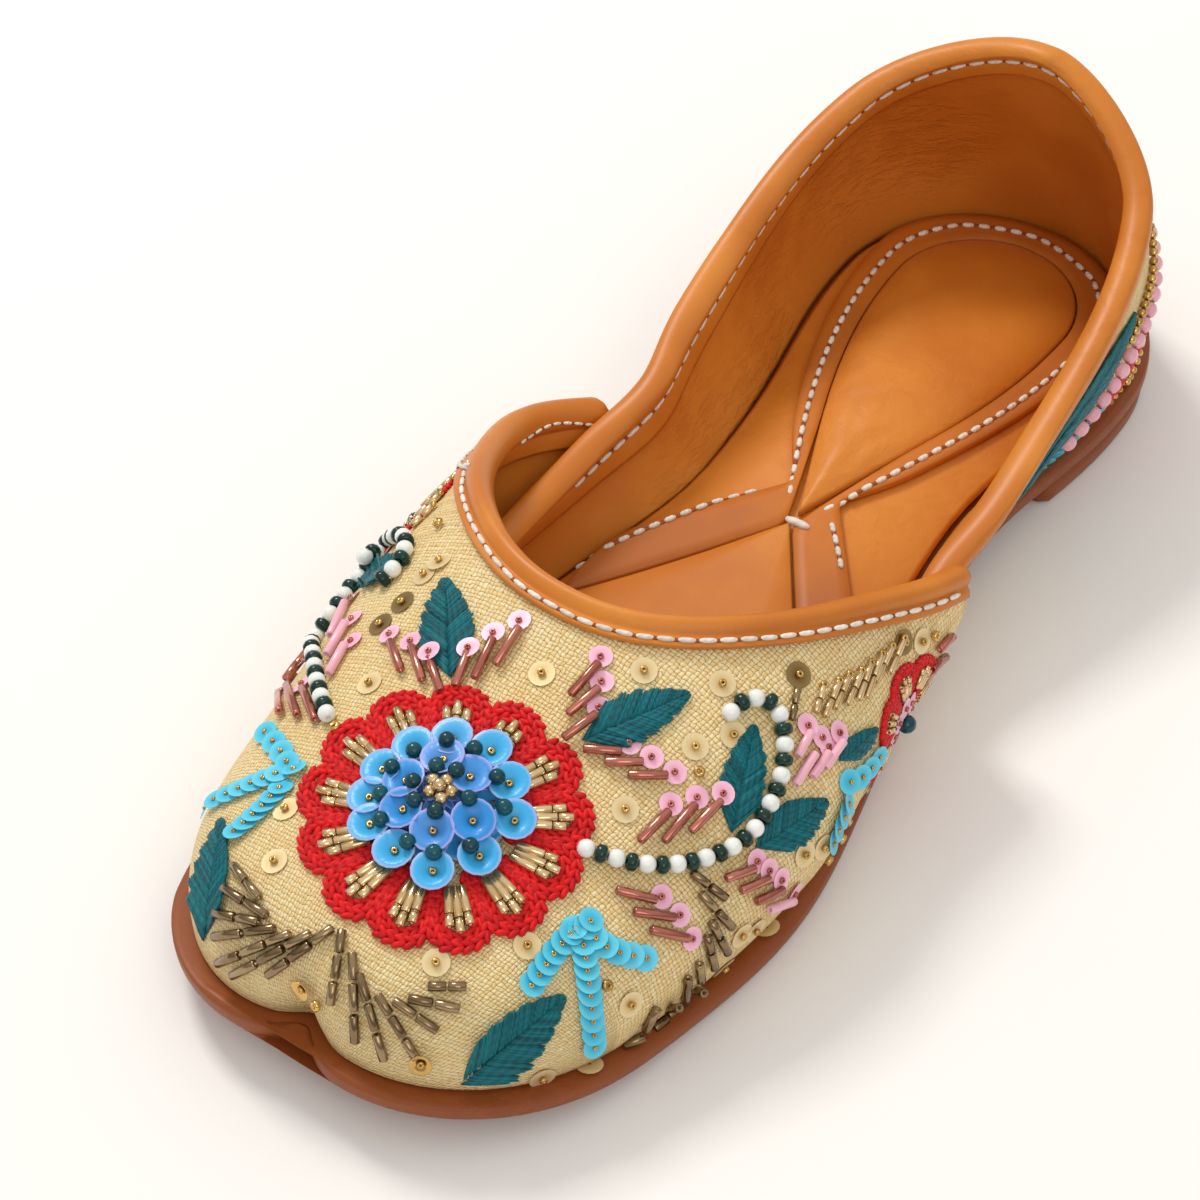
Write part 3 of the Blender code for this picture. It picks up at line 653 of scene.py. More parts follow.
def glass_finish(name, light, dark, metallic=0.0, roughness=0.12, coat=0.25, shine=0.45):
    glass = Finish(name, Metallic=metallic, Coat_Weight=coat, Coat_Roughness=0.05, Specular_IOR_Level=shine)
    cloud = glass.noise(glass.place(), 0.8, 2.0)
    glass.set("Base_Color", glass.blend(glass.attribute("tone") * 0.6 + cloud * 0.5, light, dark))
    glass.set("Roughness", roughness + 0.16 * cloud)
    return glass.material


def spangle_finish(name, middle, rim, rim_from=0.3, metallic=0.0, roughness=0.32, coat=0.12):
    spangle = Finish(name, Metallic=metallic, Coat_Weight=coat, Coat_Roughness=0.1, Specular_IOR_Level=0.4)
    edge = spangle.attribute("rim").between(rim_from, 1.0) + (spangle.attribute("tone") - 0.5) * 0.3
    spangle.set("Base_Color", spangle.blend(edge, middle, rim))
    ripple = spangle.noise(spangle.place(), 0.7, 2.0)
    spangle.set("Roughness", roughness + 0.2 * ripple)
    spangle.set("Normal", spangle.bump(ripple, 0.1, 0.5))
    return spangle.material


white_cotton = thread_finish("white_cotton", (0.87, 0.83, 0.76), (0.66, 0.60, 0.50), 2.0)
red_silk = thread_finish("red_silk", (0.80, 0.010, 0.012), (0.46, 0.002, 0.005), 1.0, 0.45)
teal_silk = thread_finish("teal_silk", (0.0, 0.185, 0.215), (0.0, 0.050, 0.068), 4.0, 0.42)
opal_glass = glass_finish("opal_glass", (0.93, 0.93, 0.89), (0.80, 0.84, 0.80), coat=0.5)
green_glass = glass_finish("green_glass", (0.0, 0.045, 0.030), (0.0, 0.016, 0.011), 0.0, 0.1, 0.1, 0.35)
teal_pearl = glass_finish("teal_pearl", (0.0, 0.100, 0.125), (0.0, 0.026, 0.038), 0.0, 0.1, 0.1, 0.35)
pink_glass = glass_finish("pink_glass", (0.92, 0.50, 0.60), (0.84, 0.40, 0.50))
copper_glass = glass_finish("copper_glass", (0.62, 0.23, 0.17), (0.34, 0.09, 0.06), 0.75, 0.1)
bright_gold = glass_finish("bright_gold", (0.78, 0.52, 0.17), (0.48, 0.27, 0.06), 0.9, 0.12)
pale_gold = glass_finish("pale_gold", (0.90, 0.70, 0.42), (0.58, 0.39, 0.17), 0.85, 0.1)
old_gold = glass_finish("old_gold", (0.42, 0.30, 0.16), (0.15, 0.09, 0.04), 0.9, 0.1)
pink_spangle = spangle_finish("pink_spangle", (0.90, 0.42, 0.58), (0.95, 0.54, 0.70))
sky_spangle = spangle_finish("sky_spangle", (0.04, 0.50, 0.74), (0.12, 0.62, 0.80))
clear_spangle = spangle_finish("clear_spangle", (0.74, 0.80, 0.72), (0.84, 0.88, 0.82))
gold_spangle = spangle_finish("gold_spangle", (0.70, 0.52, 0.24), (0.80, 0.64, 0.36), metallic=0.35, roughness=0.32)
antique_spangle = spangle_finish("antique_spangle", (0.22, 0.13, 0.04), (0.30, 0.20, 0.07), metallic=0.7)
# Painted sheen: the lavender towards the rim of a cupped spangle stands for the shifting gloss of its curved rim.
cup_light = spangle_finish("cup_light", (0.04, 0.42, 0.80), (0.36, 0.50, 0.88), rim_from=0.78)
cup_deep = spangle_finish("cup_deep", (0.02, 0.27, 0.72), (0.40, 0.42, 0.86), rim_from=0.80)
print("finishes:", len(bpy.data.materials))

# %% [markdown]
# ## White saddle stitching
# One row holds down the throat binding, another runs inside the collar, and two more follow the strip on
# the sock. Each stitch is a short capsule that sinks a little at its ends, and a flat dark patch paints the
# shade in the hole that it comes out of. The left end of the throat row is hidden in the picture, so level
# rays from outside carry it on there, and they stop before the other side.

# %% Stitch rows
stitches, hole_shades = [], []


def stitch_row(points, normals, length=3.0, width=0.85):
    """Stitches between neighbouring marks of a row, with flat dark patches painted as the shade in the holes that they
    come out of.
    """
    for number, (a, b, up) in enumerate(zip(points, points[1:], normals)):
        stitches.append(stand((a + b) / 2 + up * 0.12 * MM, up, b - a, (width / 2, length, width * 0.45)))
        if number:
            # Painted shade: a flat dark patch in sole leather stands for the shade in the stitch hole.
            hole_shades.append(stand(a + up * 0.03 * MM, up, b - a, (width * 0.42, width * 1.5, 0.2)))


def edge_row(line, inwards, tree, cover, inset):
    """Seats that lie inset pixels inside the visible edge of a binding, found from a line along its roll."""
    marks = curve_through(line, 6.0)
    seats = []
    for before, here, after in zip(marks, marks[1:], marks[2:]):
        side = Vector((before.y - after.y, after.x - before.x)).normalized() * inwards
        for step in range(70):
            ray = sight(*(here + side * step))
            found, _, _, near = tree.ray_cast(EYE, ray)
            _, _, _, other = cover.ray_cast(EYE, ray)
            if found is None or (other is not None and other < near):
                break
        seats.append(seat(*(here + side * (step - inset)), tree))
    return seats


def even_seats(seats, pitch):
    """Seats spread evenly along a row, with their normals."""
    marks = curve_through([point for point, _ in seats], pitch * MM)
    normals = [min(seats, key=lambda one: (one[0] - mark).length)[1] for mark in marks]
    return marks, normals


def below_top(tree, x, y, drop, ahead, reach=1.0):
    """A seat at a drop below the top of a binding, found by level rays."""
    for height in SEARCH:
        if tree.ray_cast(on_shoe(x, y, height), ahead, reach)[0]:
            break
    point, normal, _, _ = tree.ray_cast(on_shoe(x, y, height - drop), ahead, reach)
    return point, normal


SEARCH = np.arange(66.0, 20.0, -0.25)
THROAT_LINE = [
    (966, 580), (939, 581), (910, 586), (853, 602), (796, 619), (748, 630), (700, 630), (656, 627), (624, 619),
    (584, 605), (544, 587), (511, 562), (495, 543), (488, 523), (484, 504), (486, 485), (492, 465),
]
EAR_LINE = [(520, 443), (545, 427), (564, 423), (595, 425)]
THROAT_INSET = 9
front_seats = edge_row(THROAT_LINE, -1, throat_tree, front_tree, THROAT_INSET)
THROAT_END, THROAT_DROP, THROAT_STEP = 127.0, 4.4, 2.0
OUTSIDE, HALFWAY = -90.0, 0.085
row_end = front_seats[-1][0].y / MM - LAST.y
for along in np.arange(row_end + THROAT_STEP, THROAT_END, THROAT_STEP):
    found = below_top(throat_tree, OUTSIDE, along, THROAT_DROP, Vector((1, 0, 0)), HALFWAY)
    if found[0]:
        front_seats.append(found)
stitch_row(*even_seats(front_seats, 3.3))
stitch_row(*even_seats([seat(*mark, throat_tree) for mark in curve_through(EAR_LINE, 4.0)], 2.6), 2.1, 0.6)

COLLAR_START, COLLAR_RUN, COLLAR_DROP = 122.0, 156.0, 3.9
collar_seats = []
for share in np.linspace(-1, 1, 51):
    reach = COLLAR_START + COLLAR_RUN * (1 - abs(share)) ** 0.9
    side = 1 if share > 0 else -1
    middle = min(reach, HEEL_FROM)
    swing = math.radians(min(90.0, (reach - middle) * 90 / (COLLAR_START + COLLAR_RUN - HEEL_FROM)))
    outward = Vector((math.cos(swing) * side, math.sin(swing), 0.0))
    found = below_top(collar_tree, 0.0, middle, COLLAR_DROP, outward)
    if found[0]:
        collar_seats.append(found)
stitch_row(*even_seats(collar_seats, 3.6), 3.1, 0.8)

PAD_TIP, PAD_LENGTH, PAD_HALF, PAD_TURN, PAD_WIDEST = 146.0, 85.2, 18.0, -1.6, 0.78


def round_pad(extra):
    """A line round the heel cushion, at a distance from its edge."""
    marks = []
    for hand, shares in ((1, np.linspace(0.08, 1, 24)), (-1, np.linspace(1, 0.08, 24)[1:])):
        for share in shares:
            if share < PAD_WIDEST:
                width = math.sin(share / PAD_WIDEST * math.pi / 2)
            else:
                width = math.sqrt(max(0.0, 1 - ((share - PAD_WIDEST) / (1 - PAD_WIDEST)) ** 2))
            y = PAD_TIP - 1.2 * extra + (PAD_LENGTH + 2.2 * extra) * share
            marks.append((PAD_TURN * share ** 1.5 + hand * (PAD_HALF + extra) * width, y))
    return marks


SOCK_ROWS = (
    round_pad(3.6),
    [(-8.8, 147.4), (-14, 140.6), (-20, 130.4), (-25.4, 119.4), (-30.1, 110.9)],
    [(6.2, 147.6), (9.6, 144.0), (13.6, 139.4)],
)
sock_tree = tree_of(footbed, sock_strip, front_panel)
for row in SOCK_ROWS:
    seats = [from_above(sock_tree, x, y) for x, y in curve_through(row, 2.0)]
    stitch_row(*even_seats([found for found in seats if found[0]], 3.1), 2.3, 1.05)
TACK = ((784, 518), (811, 529))
stitch_row(*zip(*[seat(*mark, sock_tree) for mark in TACK]), 5.0, 1.6)
scatter("saddle_stitches", STITCH, stitches, white_cotton, "cotton_thread")
scatter("stitch_hole_shade", STITCH, hole_shades, sole_hide, "tan_leather")

# %% [markdown]
# ## The large flower
# Thirteen scalloped petals are outlined in two rows of red chain stitch round three gilt tubes each. A smaller
# flower with eight petals lies on each side of the foot.

# %% Red petals
FLOWER = {"place": seat, "middle": Vector((445, 821)), "radii": (147, 132), "petals": 13, "start": 0.24, "size": 0.94}
SIDE_FLOWER = {"place": flank, "middle": Vector((107, 19)), "radii": (12, 11), "petals": 8, "start": 0.0, "size": 0.62}
HIDDEN_FLOWER = SIDE_FLOWER | {"place": on_left, "middle": Vector((95, 24))}
OUTER_ROW = [
    (-1.0, 0.46), (-0.98, 0.72), (-0.93, 0.84), (-0.72, 0.93), (-0.38, 0.968), (0, 0.978), (0.38, 0.968),
    (0.72, 0.93), (0.93, 0.84), (0.98, 0.72), (1.0, 0.46),
]
INNER_ROW = [
    (-0.80, 0.42), (-0.75, 0.68), (-0.66, 0.80), (-0.48, 0.875), (-0.22, 0.905), (0, 0.91), (0.22, 0.905),
    (0.48, 0.875), (0.66, 0.80), (0.75, 0.68), (0.80, 0.42),
]


def on_flower(flower, share, petal):
    """The place at a share of the flower's radius, counted round it in petals."""
    angle = (petal + flower["start"]) * math.tau / flower["petals"] - math.pi / 2
    wide, high = flower["radii"]
    return flower["middle"] + Vector((math.cos(angle) * wide, math.sin(angle) * high)) * share


def chain_row(seats, lift, size):
    """Chain stitch: a pair of slanting strands for each link."""
    placed = []
    points, normals = even_seats(seats, 1.7 * size)
    for a, b, up in zip(points, points[1:], normals):
        ahead = (b - a).normalized()
        side = ahead.cross(up)
        for hand in (-1, 1):
            lean = (ahead + side * hand * 0.5).normalized()
            middle = (a + b) / 2 + (side * hand * 0.46 * size + up * lift * size) * MM
            placed.append(stand(middle, up, lean, (0.56 * size, 2.5 * size, 0.66 * size)))
    return placed


def embroider(flower):
    """The chain stitches and tubes of a flower."""
    place = flower["place"]
    stitched, laid = [], []
    for petal in range(flower["petals"]):
        for row, lift in ((OUTER_ROW, 0.6), (INNER_ROW, 0.4)):
            line = [place(*on_flower(flower, share, petal + across / 2)) for across, share in row]
            stitched += chain_row(line, lift, flower["size"])
        for across, end in ((-0.36, 0.83), (0.0, 0.88), (0.36, 0.83)):
            (a, up), (b, _) = (place(*on_flower(flower, share, petal + across / 2)) for share in (0.53, end))
            for low, high in ((0.0, 0.68), (0.7, 1.0)):
                near, far = a.lerp(b, low), a.lerp(b, high)
                middle = (near + far) / 2 + up * 1.25 * flower["size"] * MM
                thick = 0.8 * flower["size"]
                laid.append(stand(middle, up, far - near, (thick, (far - near).length / MM, thick)))
    return stitched, laid


links, flower_tubes = [], []
for flower in (FLOWER, SIDE_FLOWER, HIDDEN_FLOWER):
    stitched, laid = embroider(flower)
    links += stitched
    flower_tubes += laid
scatter("red_petals", STITCH, links, red_silk, "silk_thread")
scatter("petal_tubes", TUBE, flower_tubes, pale_gold, "gold_metal")

# %% [markdown]
# ## Cups and pearls
# Two rings of cupped spangles cover the petals' inner ends, held by dark pearls, and a knot of gilt beads
# fills the middle. Smaller cups without beads fill the gaps below them.

# %% Cups and pearls
HEART = Vector((446, 806))
OUTER_CUPS = (
    (456, 747), (494, 759), (511, 791), (515, 828), (480, 864), (434, 880), (397, 860), (373, 834), (373, 807),
    (387, 779), (418, 756),
)
INNER_CUPS = ((448, 772), (474, 789), (475, 833), (436, 844), (407, 823), (411, 794))
OUTER_PEARLS = (
    (452, 753), (479, 761), (500, 789), (506, 819), (472, 858), (436, 866), (411, 856), (385, 834), (386, 808),
    (398, 781), (420, 764),
)
INNER_PEARLS = ((443, 783), (462, 787), (473, 815), (440, 829), (420, 818), (420, 799))
cups_light, cups_deep, pearls, heart_beads, gilt = [], [], [], [], []


def ring(count, wide, high, start=0.0):
    """Steps from the middle of an ellipse to places spread evenly round it."""
    angles = (number * math.tau / count + start for number in range(count))
    return [Vector((math.cos(angle) * wide, math.sin(angle) * high)) for angle in angles]


def cup(mark, size, lift, tilt, store, bead=True):
    """A cupped spangle that leans away from the flower's heart, with a gilt bead in its hole."""
    point, up = seat(*mark)
    outward = (seat(*(Vector(mark) + (Vector(mark) - HEART) * 0.3))[0] - point).normalized()
    lean = (up + outward * tilt).normalized()
    store.append(stand(point + up * lift * MM, lean, outward, (size / 2, size / 2, size / 2)))
    if bead:
        gilt.append(stand(point + up * (lift + 0.4) * MM, lean, outward, (0.62, 0.62, 0.62)))


def pearl(mark, radius, lift, store):
    point, up = seat(*mark)
    store.append(stand(point + up * lift * MM, up, Vector((1, 0, 0)), (radius, radius, radius)))


for step in ring(10, 48, 44):
    cup(HEART + step, 6.4, 1.2, 0.1, cups_light, bead=False)
for step in ring(10, 14, 13):
    cup(HEART + step, 5.0, 2.4, 0.1, cups_deep, bead=False)
for mark in OUTER_CUPS:
    cup(mark, 6.9, 2.3, 0.08, cups_light)
for mark in INNER_CUPS:
    cup(mark, 7.2, 3.6, 0.2, cups_deep)
for mark in OUTER_PEARLS:
    pearl(mark, 1.35, 4.2, pearls)
for mark in INNER_PEARLS:
    pearl(mark, 1.35, 5.5, pearls)
for step in ring(5, 11, 10, 0.3):
    pearl(HEART + step, 1.08, 5.6, heart_beads)
pearl(HEART, 1.08, 6.8, heart_beads)
for flower in (SIDE_FLOWER, HIDDEN_FLOWER):
    point, up = flower["place"](*flower["middle"])
    pearls.append(stand(point + up * 1.6 * MM, up, Vector((0, 1, 0)), (1.6, 1.6, 1.6)))
scatter("light_cups", CUP, cups_light, cup_light, "sequin")
scatter("deep_cups", CUP, cups_deep, cup_deep, "sequin")
scatter("teal_pearls", BEAD, pearls, teal_pearl, "glass_bead")
scatter("heart_pearls", BEAD, heart_beads, pale_gold, "gold_metal")

# %% [markdown]
# ## Leaves in satin stitch
# Strands of teal silk run from the midrib to the edge, leaning towards the tip, and lie high in the
# middle over padding.

# %% Leaves
STRAND = 0.6
BUNDLES = 6
ROUND_HEEL = 500


def satin_leaf(base, tip, width, place=seat, scale=6.2, crown=0.7):
    """Strands on both sides of a midrib. The width and scale are in the units of the place."""
    base, tip = Vector(base), Vector(tip)
    ahead = tip - base
    side = Vector((-ahead.y, ahead.x)).normalized() * width / 2
    count = round(ahead.length / scale / (STRAND * 0.58))
    placed = []
    for number in range(count):
        share = (number + 0.5) / count
        start = share * 0.96
        end = min(1.0, start + 0.24 * (1 - share) ** 0.6 + 0.015)
        bundle = math.sin(math.pi * (share * BUNDLES % 1.0))
        swell = max(0.03, math.sin(math.pi * end ** 0.8)) ** 0.8 * (0.88 + 0.16 * bundle)
        for hand in (-1, 1):
            swing = hand * swell * random.uniform(0.93, 1.04)
            (a, up), (b, _) = place(*(base + ahead * start)), place(*(base + ahead * end + side * swing))
            a += up * (0.25 + crown * swell) * MM
            b += up * (0.1 + 0.35 * bundle + random.uniform(0.0, 0.25)) * MM
            thick = STRAND * random.uniform(0.8, 1.25)
            placed.append(stand((a + b) / 2, up, b - a, (thick / 2, (b - a).length / MM * 1.12, thick * 0.62)))
    return placed


def round_heel(along, height):
    """A seat on the back, counted from the right side round the heel to the left one."""
    return flank(along, height) if along < ROUND_HEEL / 2 else flank(ROUND_HEEL - along, height, -1)


def across_heel(line):
    """A line on the right of the back carried over to the left."""
    return [(ROUND_HEEL - along, height) for along, height in line]


def heel_leaf(ends, width):
    """A satin leaf on both sides of the back."""
    return [strand for pair in (ends, across_heel(ends)) for strand in satin_leaf(*pair, width, round_heel, 1.0)]


LEAVES = (
    ((451, 678), (447, 577), 54), ((583, 741), (692, 693), 50), ((731, 832), (754, 723), 44),
    ((755, 847), (827, 799), 46), ((837, 761), (876, 727), 22), ((357, 590), (400, 555), 22),
    ((205, 940), (224, 817), 34), ((462, 1084), (566, 994), 56),
)
strands = [strand for base, tip, width in LEAVES for strand in satin_leaf(base, tip, width)]
strands += heel_leaf([(160, 21), (204, 34)], 13)
leaves = scatter("teal_leaves", STITCH, strands, teal_silk, "silk_thread")
strands = heel_leaf([(192, 13), (222, 21)], 7)
scatter("heel_petals", STITCH, strands, red_silk, "silk_thread")

# %% [markdown]
# ## Strings of beads
# Round opal beads alternate with flat green ones on a thread that curls beside each leaf group.

# %% Bead strings
OPAL, GREEN = 1.5, 0.85
opals, greens, roses = [], [], []
leaf_tree = tree_of(leaves)


def on_work(across, down):
    """A seat on a leaf where one lies behind the point of the picture, or on the cloth."""
    point, normal = seat(across, down)
    top, _, _, _ = leaf_tree.ray_cast(EYE, sight(across, down))
    return top or point, normal


def bead_string(line, place=on_work):
    """White and green beads in turn along a line, with a white one at each end."""
    seats = [place(*mark) for mark in curve_through(line, 6.0)]
    whole = sum((b[0] - a[0]).length for a, b in zip(seats, seats[1:])) / MM
    points, normals = even_seats(seats, whole / (round(whole / (OPAL + GREEN) / 2) * 2))
    for number, (point, up) in enumerate(zip(points, normals)):
        ahead = points[min(number + 1, len(points) - 1)] - points[max(number - 1, 0)]
        store, half = (greens, GREEN) if number % 2 else (opals, OPAL)
        store.append(stand(point + up * OPAL * 0.95 * MM, up, ahead, (OPAL, half, OPAL)))


def bead_row(line, store, radius, half, place=seat, step=6.0):
    """Beads of one kind that touch along a line."""
    points, normals = even_seats([place(*mark) for mark in curve_through(line, step)], half * 2.05)
    for a, b, up in zip(points, points[1:], normals):
        store.append(stand((a + b) / 2 + up * radius * 0.9 * MM, up, b - a, (radius, half, radius)))


RIGHT_STRING = [
    (585, 851), (606, 858), (636, 865), (665, 866), (691, 862), (724, 850), (748, 832), (765, 807), (777, 778),
    (781, 747), (776, 716), (762, 701), (742, 703), (729, 714),
]
LEFT_STRING = [
    (331, 719), (323, 692), (319, 664), (318, 636), (326, 612), (347, 587), (370, 563), (390, 546), (407, 541),
    (411, 550), (404, 568), (388, 584),
]
bead_string(RIGHT_STRING)
bead_string(LEFT_STRING)
ROSE_BORDER = [(183, 16), (190, 21), (200, 25), (210, 29), (222, 33), (236, 36), (250, 37)]
BACK_BORDER = [(222, 24), (236, 27), (250, 28)]
CHAIN = [(166, 11), (178, 10), (190, 12), (196, 15)]


def both_sides(line):
    """A line that runs to the middle of the heel, carried on round to the other side."""
    return line + across_heel(line[-2::-1])


small_gold = []
bead_row(both_sides(ROSE_BORDER), roses, 1.35, 1.6, round_heel, 3.0)
bead_row(both_sides(BACK_BORDER), roses, 1.1, 1.3, round_heel, 3.0)
UPPER_GOLD = [(along, height + 4.5) for along, height in ROSE_BORDER[2:]]
LOWER_GOLD = [(205, 6), (220, 13), (236, 18), (250, 19)]
for border in (UPPER_GOLD, LOWER_GOLD):
    bead_row(both_sides(border), small_gold, 0.9, 0.9, round_heel, 3.0)
scatter("opal_beads", BEAD, opals, opal_glass, "glass_bead")
scatter("green_beads", DISC, greens, green_glass, "glass_bead")
scatter("rose_beads", BEAD, roses, pink_glass, "glass_bead")
scatter("heel_gold", BEAD, small_gold, bright_gold, "gold_metal")

# %% [markdown]
# ## Pink sprays
# Each spray is a row of pink spangles, and every spangle is held down by a copper tube that slants across the
# row. The same helper lays the gilt and old gold tubes of the toe.

# %% Tubes and spangles
pink, copper, rosy, antique, clear_gold, copper_seeds = [], [], [], [], [], []


def tube(start, end, store, radius=0.75, place=seat, lift=0.1):
    """A tube that lies on the cloth between two points."""
    (a, up), (b, other) = place(*start), place(*end)
    up = (up + other).normalized()
    middle = (a + b) / 2 + up * (radius + lift) * MM
    store.append(stand(middle, up, b - a, (radius, (b - a).length / MM, radius)))


def rod(start, end, store, pieces, radius=0.7):
    """Short tubes in line, like a jointed rod."""
    start, end = Vector(start), Vector(end)
    for number in range(pieces):
        tube(start.lerp(end, number / pieces), start.lerp(end, (number + 0.92) / pieces), store, radius)


def spangle(at, towards, store, size=4.2, lean=0.25, lift=0.25, place=seat):
    """A flat spangle that leans on its neighbour."""
    point, up = place(*at)
    ahead = (place(*towards)[0] - point).normalized()
    up = (up - ahead * lean).normalized()
    store.append(stand(point + up * lift * MM, up, ahead, (size / 2, size / 2, size / 2)))


def seed(at, store, radius=0.6, lift=0.7, place=seat):
    """A small bead that stands on its hole."""
    point, up = place(*at)
    store.append(stand(point + up * lift * MM, up, Vector((1, 0, 0)), (radius, radius, radius)))


PINK_SPRAYS = (
    ((391, 636), (393, 645), (404, 674)), ((412, 643), (414, 650), (425, 684)), ((430, 653), (431, 661), (443, 695)),
    ((469, 649), (470, 655), (457, 690)), ((494, 634), (495, 641), (476, 682)), ((520, 622), (521, 630), (497, 668)),
    ((601, 658), (600, 665), (571, 698)), ((602, 683), (600, 690), (568, 717)), ((599, 709), (597, 715), (564, 742)),
    ((629, 744), (622, 754), (583, 751)), ((651, 758), (643, 764), (604, 764)), ((674, 773), (667, 777), (627, 777)),
    ((670, 805), (668, 812), (638, 843)), ((696, 798), (694, 805), (662, 843)), ((722, 794), (720, 801), (688, 833)),
    ((660, 897), (655, 901), (614, 891)), ((678, 915), (673, 918), (631, 912)), ((690, 938), (686, 938), (647, 929)),
    ((755, 861), (752, 868), (722, 878)), ((767, 870), (766, 877), (736, 889)), ((779, 879), (779, 887), (751, 899)),
    ((792, 892), (789, 897), (764, 906)), ((806, 726), (808, 732), (794, 757)), ((820, 738), (812, 753), (792, 785)),
    ((837, 733), (839, 741), (820, 768)), ((826, 747), (825, 752), (808, 777)),
    ((353, 600), (350, 606), (335, 640)), ((354, 621), (350, 626), (331, 659)), ((353, 643), (349, 648), (332, 678)),
    ((275, 686), (274, 690), (286, 717)), ((291, 683), (291, 689), (302, 720)), ((304, 686), (306, 692), (319, 724)),
    ((297, 657), (296, 662), (280, 676)), ((308, 646), (306, 652), (292, 668)),
)
ROSY_FROM, ROSY_LEFT = 790, (340, 360)
for at, start, end in PINK_SPRAYS:
    is_rosy = at[0] > ROSY_FROM or ROSY_LEFT[0] < at[0] < ROSY_LEFT[1]
    spangle(at, end, pink, 3.9, 0.14, 0.45, on_work)
    seed(at, copper_seeds, 0.55, 0.8, on_work)
    tube(start, end, rosy if is_rosy else copper, 0.78, on_work, 0.4)
EDGE_TUBES = (((949, 634), (935, 648)), ((942, 654), (928, 667)), ((937, 667), (920, 678)))
for start, end in EDGE_TUBES:
    tube(start, end, copper, 0.75)

OLD_SPRAYS = (
    ((262, 900), (235, 866)), ((270, 917), (224, 888)), ((262, 923), (216, 913)), ((278, 929), (214, 937)),
    ((293, 934), (219, 963)), ((313, 934), (233, 975)), ((335, 929), (268, 975)), ((344, 931), (333, 1006)),
    ((354, 953), (358, 1043)), ((361, 974), (387, 1060)), ((379, 994), (419, 1058)), ((395, 1000), (440, 1031)),
    ((409, 998), (462, 1009)), ((428, 987), (468, 987)), ((690, 873), (725, 899)), ((698, 893), (731, 928)),
    ((708, 920), (725, 952)), ((704, 934), (711, 967)), ((696, 961), (698, 999)), ((685, 975), (677, 1029)),
    ((671, 993), (661, 1041)), ((654, 1005), (627, 1053)),
)
for start, end in OLD_SPRAYS:
    rod(start, end, antique, max(2, round((Vector(end) - Vector(start)).length / 26)), 0.78)
THROAT_RODS = (
    ((813, 713), (822, 686)), ((822, 717), (837, 681)), ((832, 709), (847, 675)), ((844, 705), (859, 671)),
    ((855, 700), (868, 663)), ((863, 698), (879, 654)), ((872, 682), (889, 646)), ((886, 673), (901, 638)),
)
LEFT_RODS = (
    ((414, 529), (436, 508)), ((419, 520), (443, 497)), ((424, 509), (447, 487)), ((431, 499), (452, 477)),
    ((437, 488), (457, 468)), ((462, 462), (474, 449)),
)
for start, end in THROAT_RODS + LEFT_RODS:
    rod(start, end, clear_gold, 2, 0.62)
    seed(end, gilt, 0.75, 0.8)
STALK = ((790, 721), (796, 688))
rod(*STALK, antique, 2, 0.62)
for flower in (SIDE_FLOWER, HIDDEN_FLOWER):
    for step in ring(8, 3.6, 3.3):
        at = flower["middle"] + step
        spangle(at, flower["middle"], pink, 3.6, 0.1, 0.7, flower["place"])
        seed(at, copper_seeds, 0.5, 1.0, flower["place"])
scatter("pink_spangles", SPANGLE, pink, pink_spangle, "sequin", flat=True)
scatter("copper_seeds", SEED, copper_seeds, copper_glass, "glass_bead")
scatter("copper_tubes", TUBE, copper, copper_glass, "glass_bead")
scatter("rosy_tubes", TUBE, rosy, pink_glass, "glass_bead")
scatter("old_gold_tubes", TUBE, antique, old_gold, "gold_metal")
scatter("throat_tubes", TUBE, clear_gold, pale_gold, "gold_metal")

# %% [markdown]
# ## Sky blue sprays and loose spangles
# Sky blue spangles overlap like fish scales along branching lines, and single gilt spangles, each with one
# bead in its hole, fill the ground between the motifs.

# %% Spangles
sky, loose, dark_loose, clear, amber = [], [], [], [], []


def scales(line, pitch, place=seat):
    """Sky blue spangles that overlap along a line. It returns their places."""
    marks = curve_through(line, pitch)
    for here, after in zip(marks, marks[1:]):
        spangle(after, after + (here - after) * 3, sky, 4.2, -0.35, 0.75, place)
    return marks[1:]


def sewn_spangle(at, store, step, place=seat):
    """A flat spangle with a gilt bead in its hole."""
    spangle(at, (at[0] + step, at[1]), store, 4.4, 0.0, 0.15, place)
    seed(at, gilt, 0.65, place=place)


SKY_BRANCHES = (
    [(578, 926), (556, 950), (530, 986)], [(580, 934), (587, 985), (592, 1044)], [(584, 930), (610, 950), (644, 958)],
    [(566, 914), (574, 930)], [(594, 914), (584, 930)],
    [(294, 776), (284, 755), (268, 735)], [(290, 772), (250, 788), (206, 808)], [(290, 782), (262, 812), (237, 834)],
    [(300, 754), (296, 772)], [(834, 779), (850, 781), (864, 770), (875, 756)], [(850, 790), (840, 815), (829, 842)],
)
for branch in SKY_BRANCHES:
    for mark in scales(branch, 12.5):
        seed(mark, gilt, 0.45, 1.0)
for line in (CHAIN, across_heel(CHAIN)):
    scales(line, 2.2, round_heel)
scatter("sky_spangles", SPANGLE, sky, sky_spangle, "sequin", flat=True)

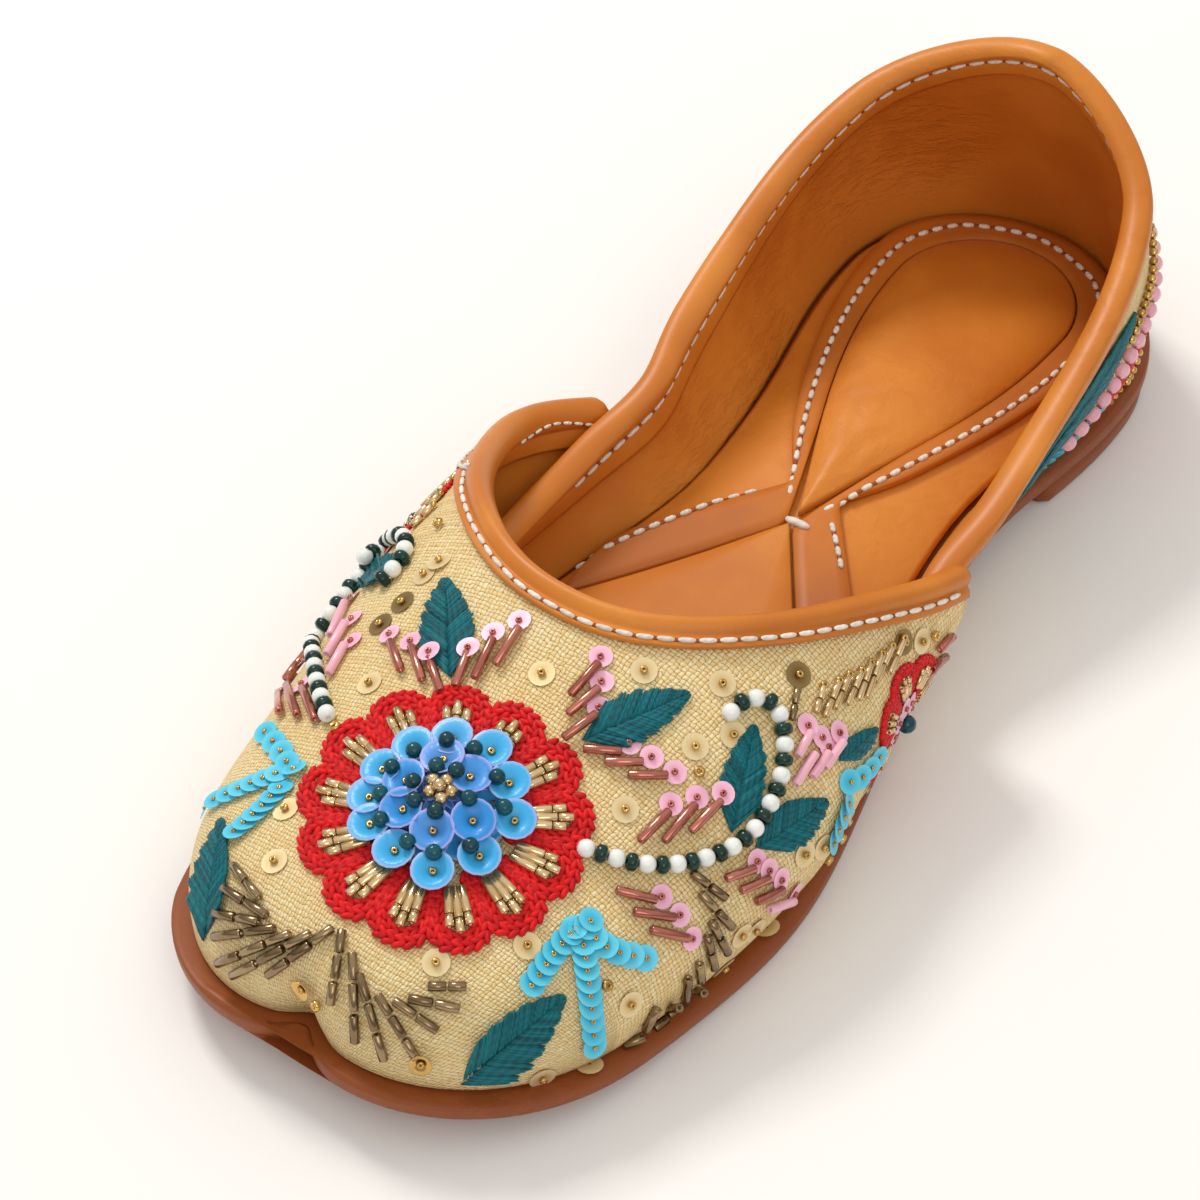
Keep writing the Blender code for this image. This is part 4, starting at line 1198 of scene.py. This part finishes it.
LOOSE = (
    (370, 684), (542, 674), (275, 862), (286, 810), (436, 963), (527, 946), (542, 1077), (591, 1067), (644, 671),
    (722, 684), (695, 747), (733, 735), (625, 810), (630, 1004), (741, 935), (769, 929), (804, 854), (723, 967),
    (440, 562), (425, 575), (921, 641),
)
DARK_LOOSE = ((798, 675), (903, 642), (403, 603), (381, 625))
CLEAR_LOOSE = ((878, 779), (872, 793), (853, 825), (897, 748), (388, 549), (352, 572))
for marks, store in ((LOOSE, loose), (DARK_LOOSE, dark_loose), (CLEAR_LOOSE, clear)):
    for at in marks:
        sewn_spangle(at, store, 20)
AMBER_PLACES = ((306, 986), (422, 1060))
SINGLE_BEADS = ((698, 773), (605, 985), (932, 635), (337, 730), (845, 841), (832, 863), (441, 526), (320, 1004))
SIDE_SPANGLES = ((60, 14), (76, 20), (126, 12), (140, 20), (150, 10))
for at in AMBER_PLACES:
    cup(at, 3.6, 0.9, 0.0, amber)
for at in SINGLE_BEADS:
    seed(at, gilt, 0.95, 0.9)
for place in (flank, on_left):
    for at in SIDE_SPANGLES:
        sewn_spangle(at, loose, 3, place)
scatter("gold_spangles", SPANGLE, loose, gold_spangle, "sequin", flat=True)
scatter("dark_spangles", SPANGLE, dark_loose, antique_spangle, "sequin", flat=True)
scatter("clear_spangles", SPANGLE, clear, clear_spangle, "sequin", flat=True)
scatter("amber_cups", CUP, amber, bright_gold, "gold_metal")
scatter("gold_beads", SEED, gilt, bright_gold, "gold_metal")

# %% [markdown]
# ## Floor and light
# The picture has a warm white ground and one wide soft light from the upper left, with a fainter one
# opposite. The floor is one plane, pale enough to meet the world's colour without an edge.

# %% Stage
GROUND_COLOUR, GROUND_PALE = (0.885, 0.865, 0.84), (0.895, 0.875, 0.85)
floor_shape = bmesh.new()
bmesh.ops.create_grid(floor_shape, x_segments=1, y_segments=1, size=3.0)
floor_mesh = bpy.data.meshes.new("floor")
floor_shape.to_mesh(floor_mesh)
floor_shape.free()
floor = bpy.data.objects.new("floor", floor_mesh)
floor_finish = Finish("floor_paper", Roughness=0.9, Specular_IOR_Level=0.1)
paper = floor_finish.noise(floor_finish.place(), 0.02, 2.0)
floor_finish.set("Base_Color", floor_finish.blend(paper, GROUND_COLOUR, GROUND_PALE))
floor_mesh.materials.append(floor_finish.material)
scene.collection.objects.link(floor)

world = bpy.data.worlds.new("studio")
world.use_nodes = True
sky_nodes, sky_links = world.node_tree.nodes, world.node_tree.links
backdrop = sky_nodes["Background"]
backdrop.inputs["Color"].default_value = (1.0, 0.975, 0.95, 1.0)
direction, parts = sky_nodes.new("ShaderNodeTexCoord"), sky_nodes.new("ShaderNodeSeparateXYZ")
rising = sky_nodes.new("ShaderNodeMapRange")
for key, value in (("From Min", 0.0), ("From Max", 0.75), ("To Min", 0.24), ("To Max", 0.84)):
    rising.inputs[key].default_value = value
sky_links.new(direction.outputs["Generated"], parts.inputs["Vector"])
sky_links.new(parts.outputs["Z"], rising.inputs["Value"])
sky_links.new(rising.outputs["Result"], backdrop.inputs["Strength"])
scene.world = world


def add_light(name, place, size, watts, colour):
    """A square light in metres from the middle of the shoe, aimed at it."""
    lamp = bpy.data.lights.new(name, "AREA")
    lamp.size = size
    lamp.energy = watts
    lamp.color = colour
    made = bpy.data.objects.new(name, lamp)
    made.location = place
    made.rotation_euler = Vector(place).to_track_quat("Z", "Y").to_euler()
    scene.collection.objects.link(made)


add_light("key", (-0.9, 0.35, 1.25), 0.4, 12.0, (1.0, 0.97, 0.93))
add_light("fill", (0.9, -0.9, 1.1), 0.9, 4.5, (1.0, 0.98, 0.96))
scene.view_settings.view_transform = "Standard"
scene.view_settings.look = "None"
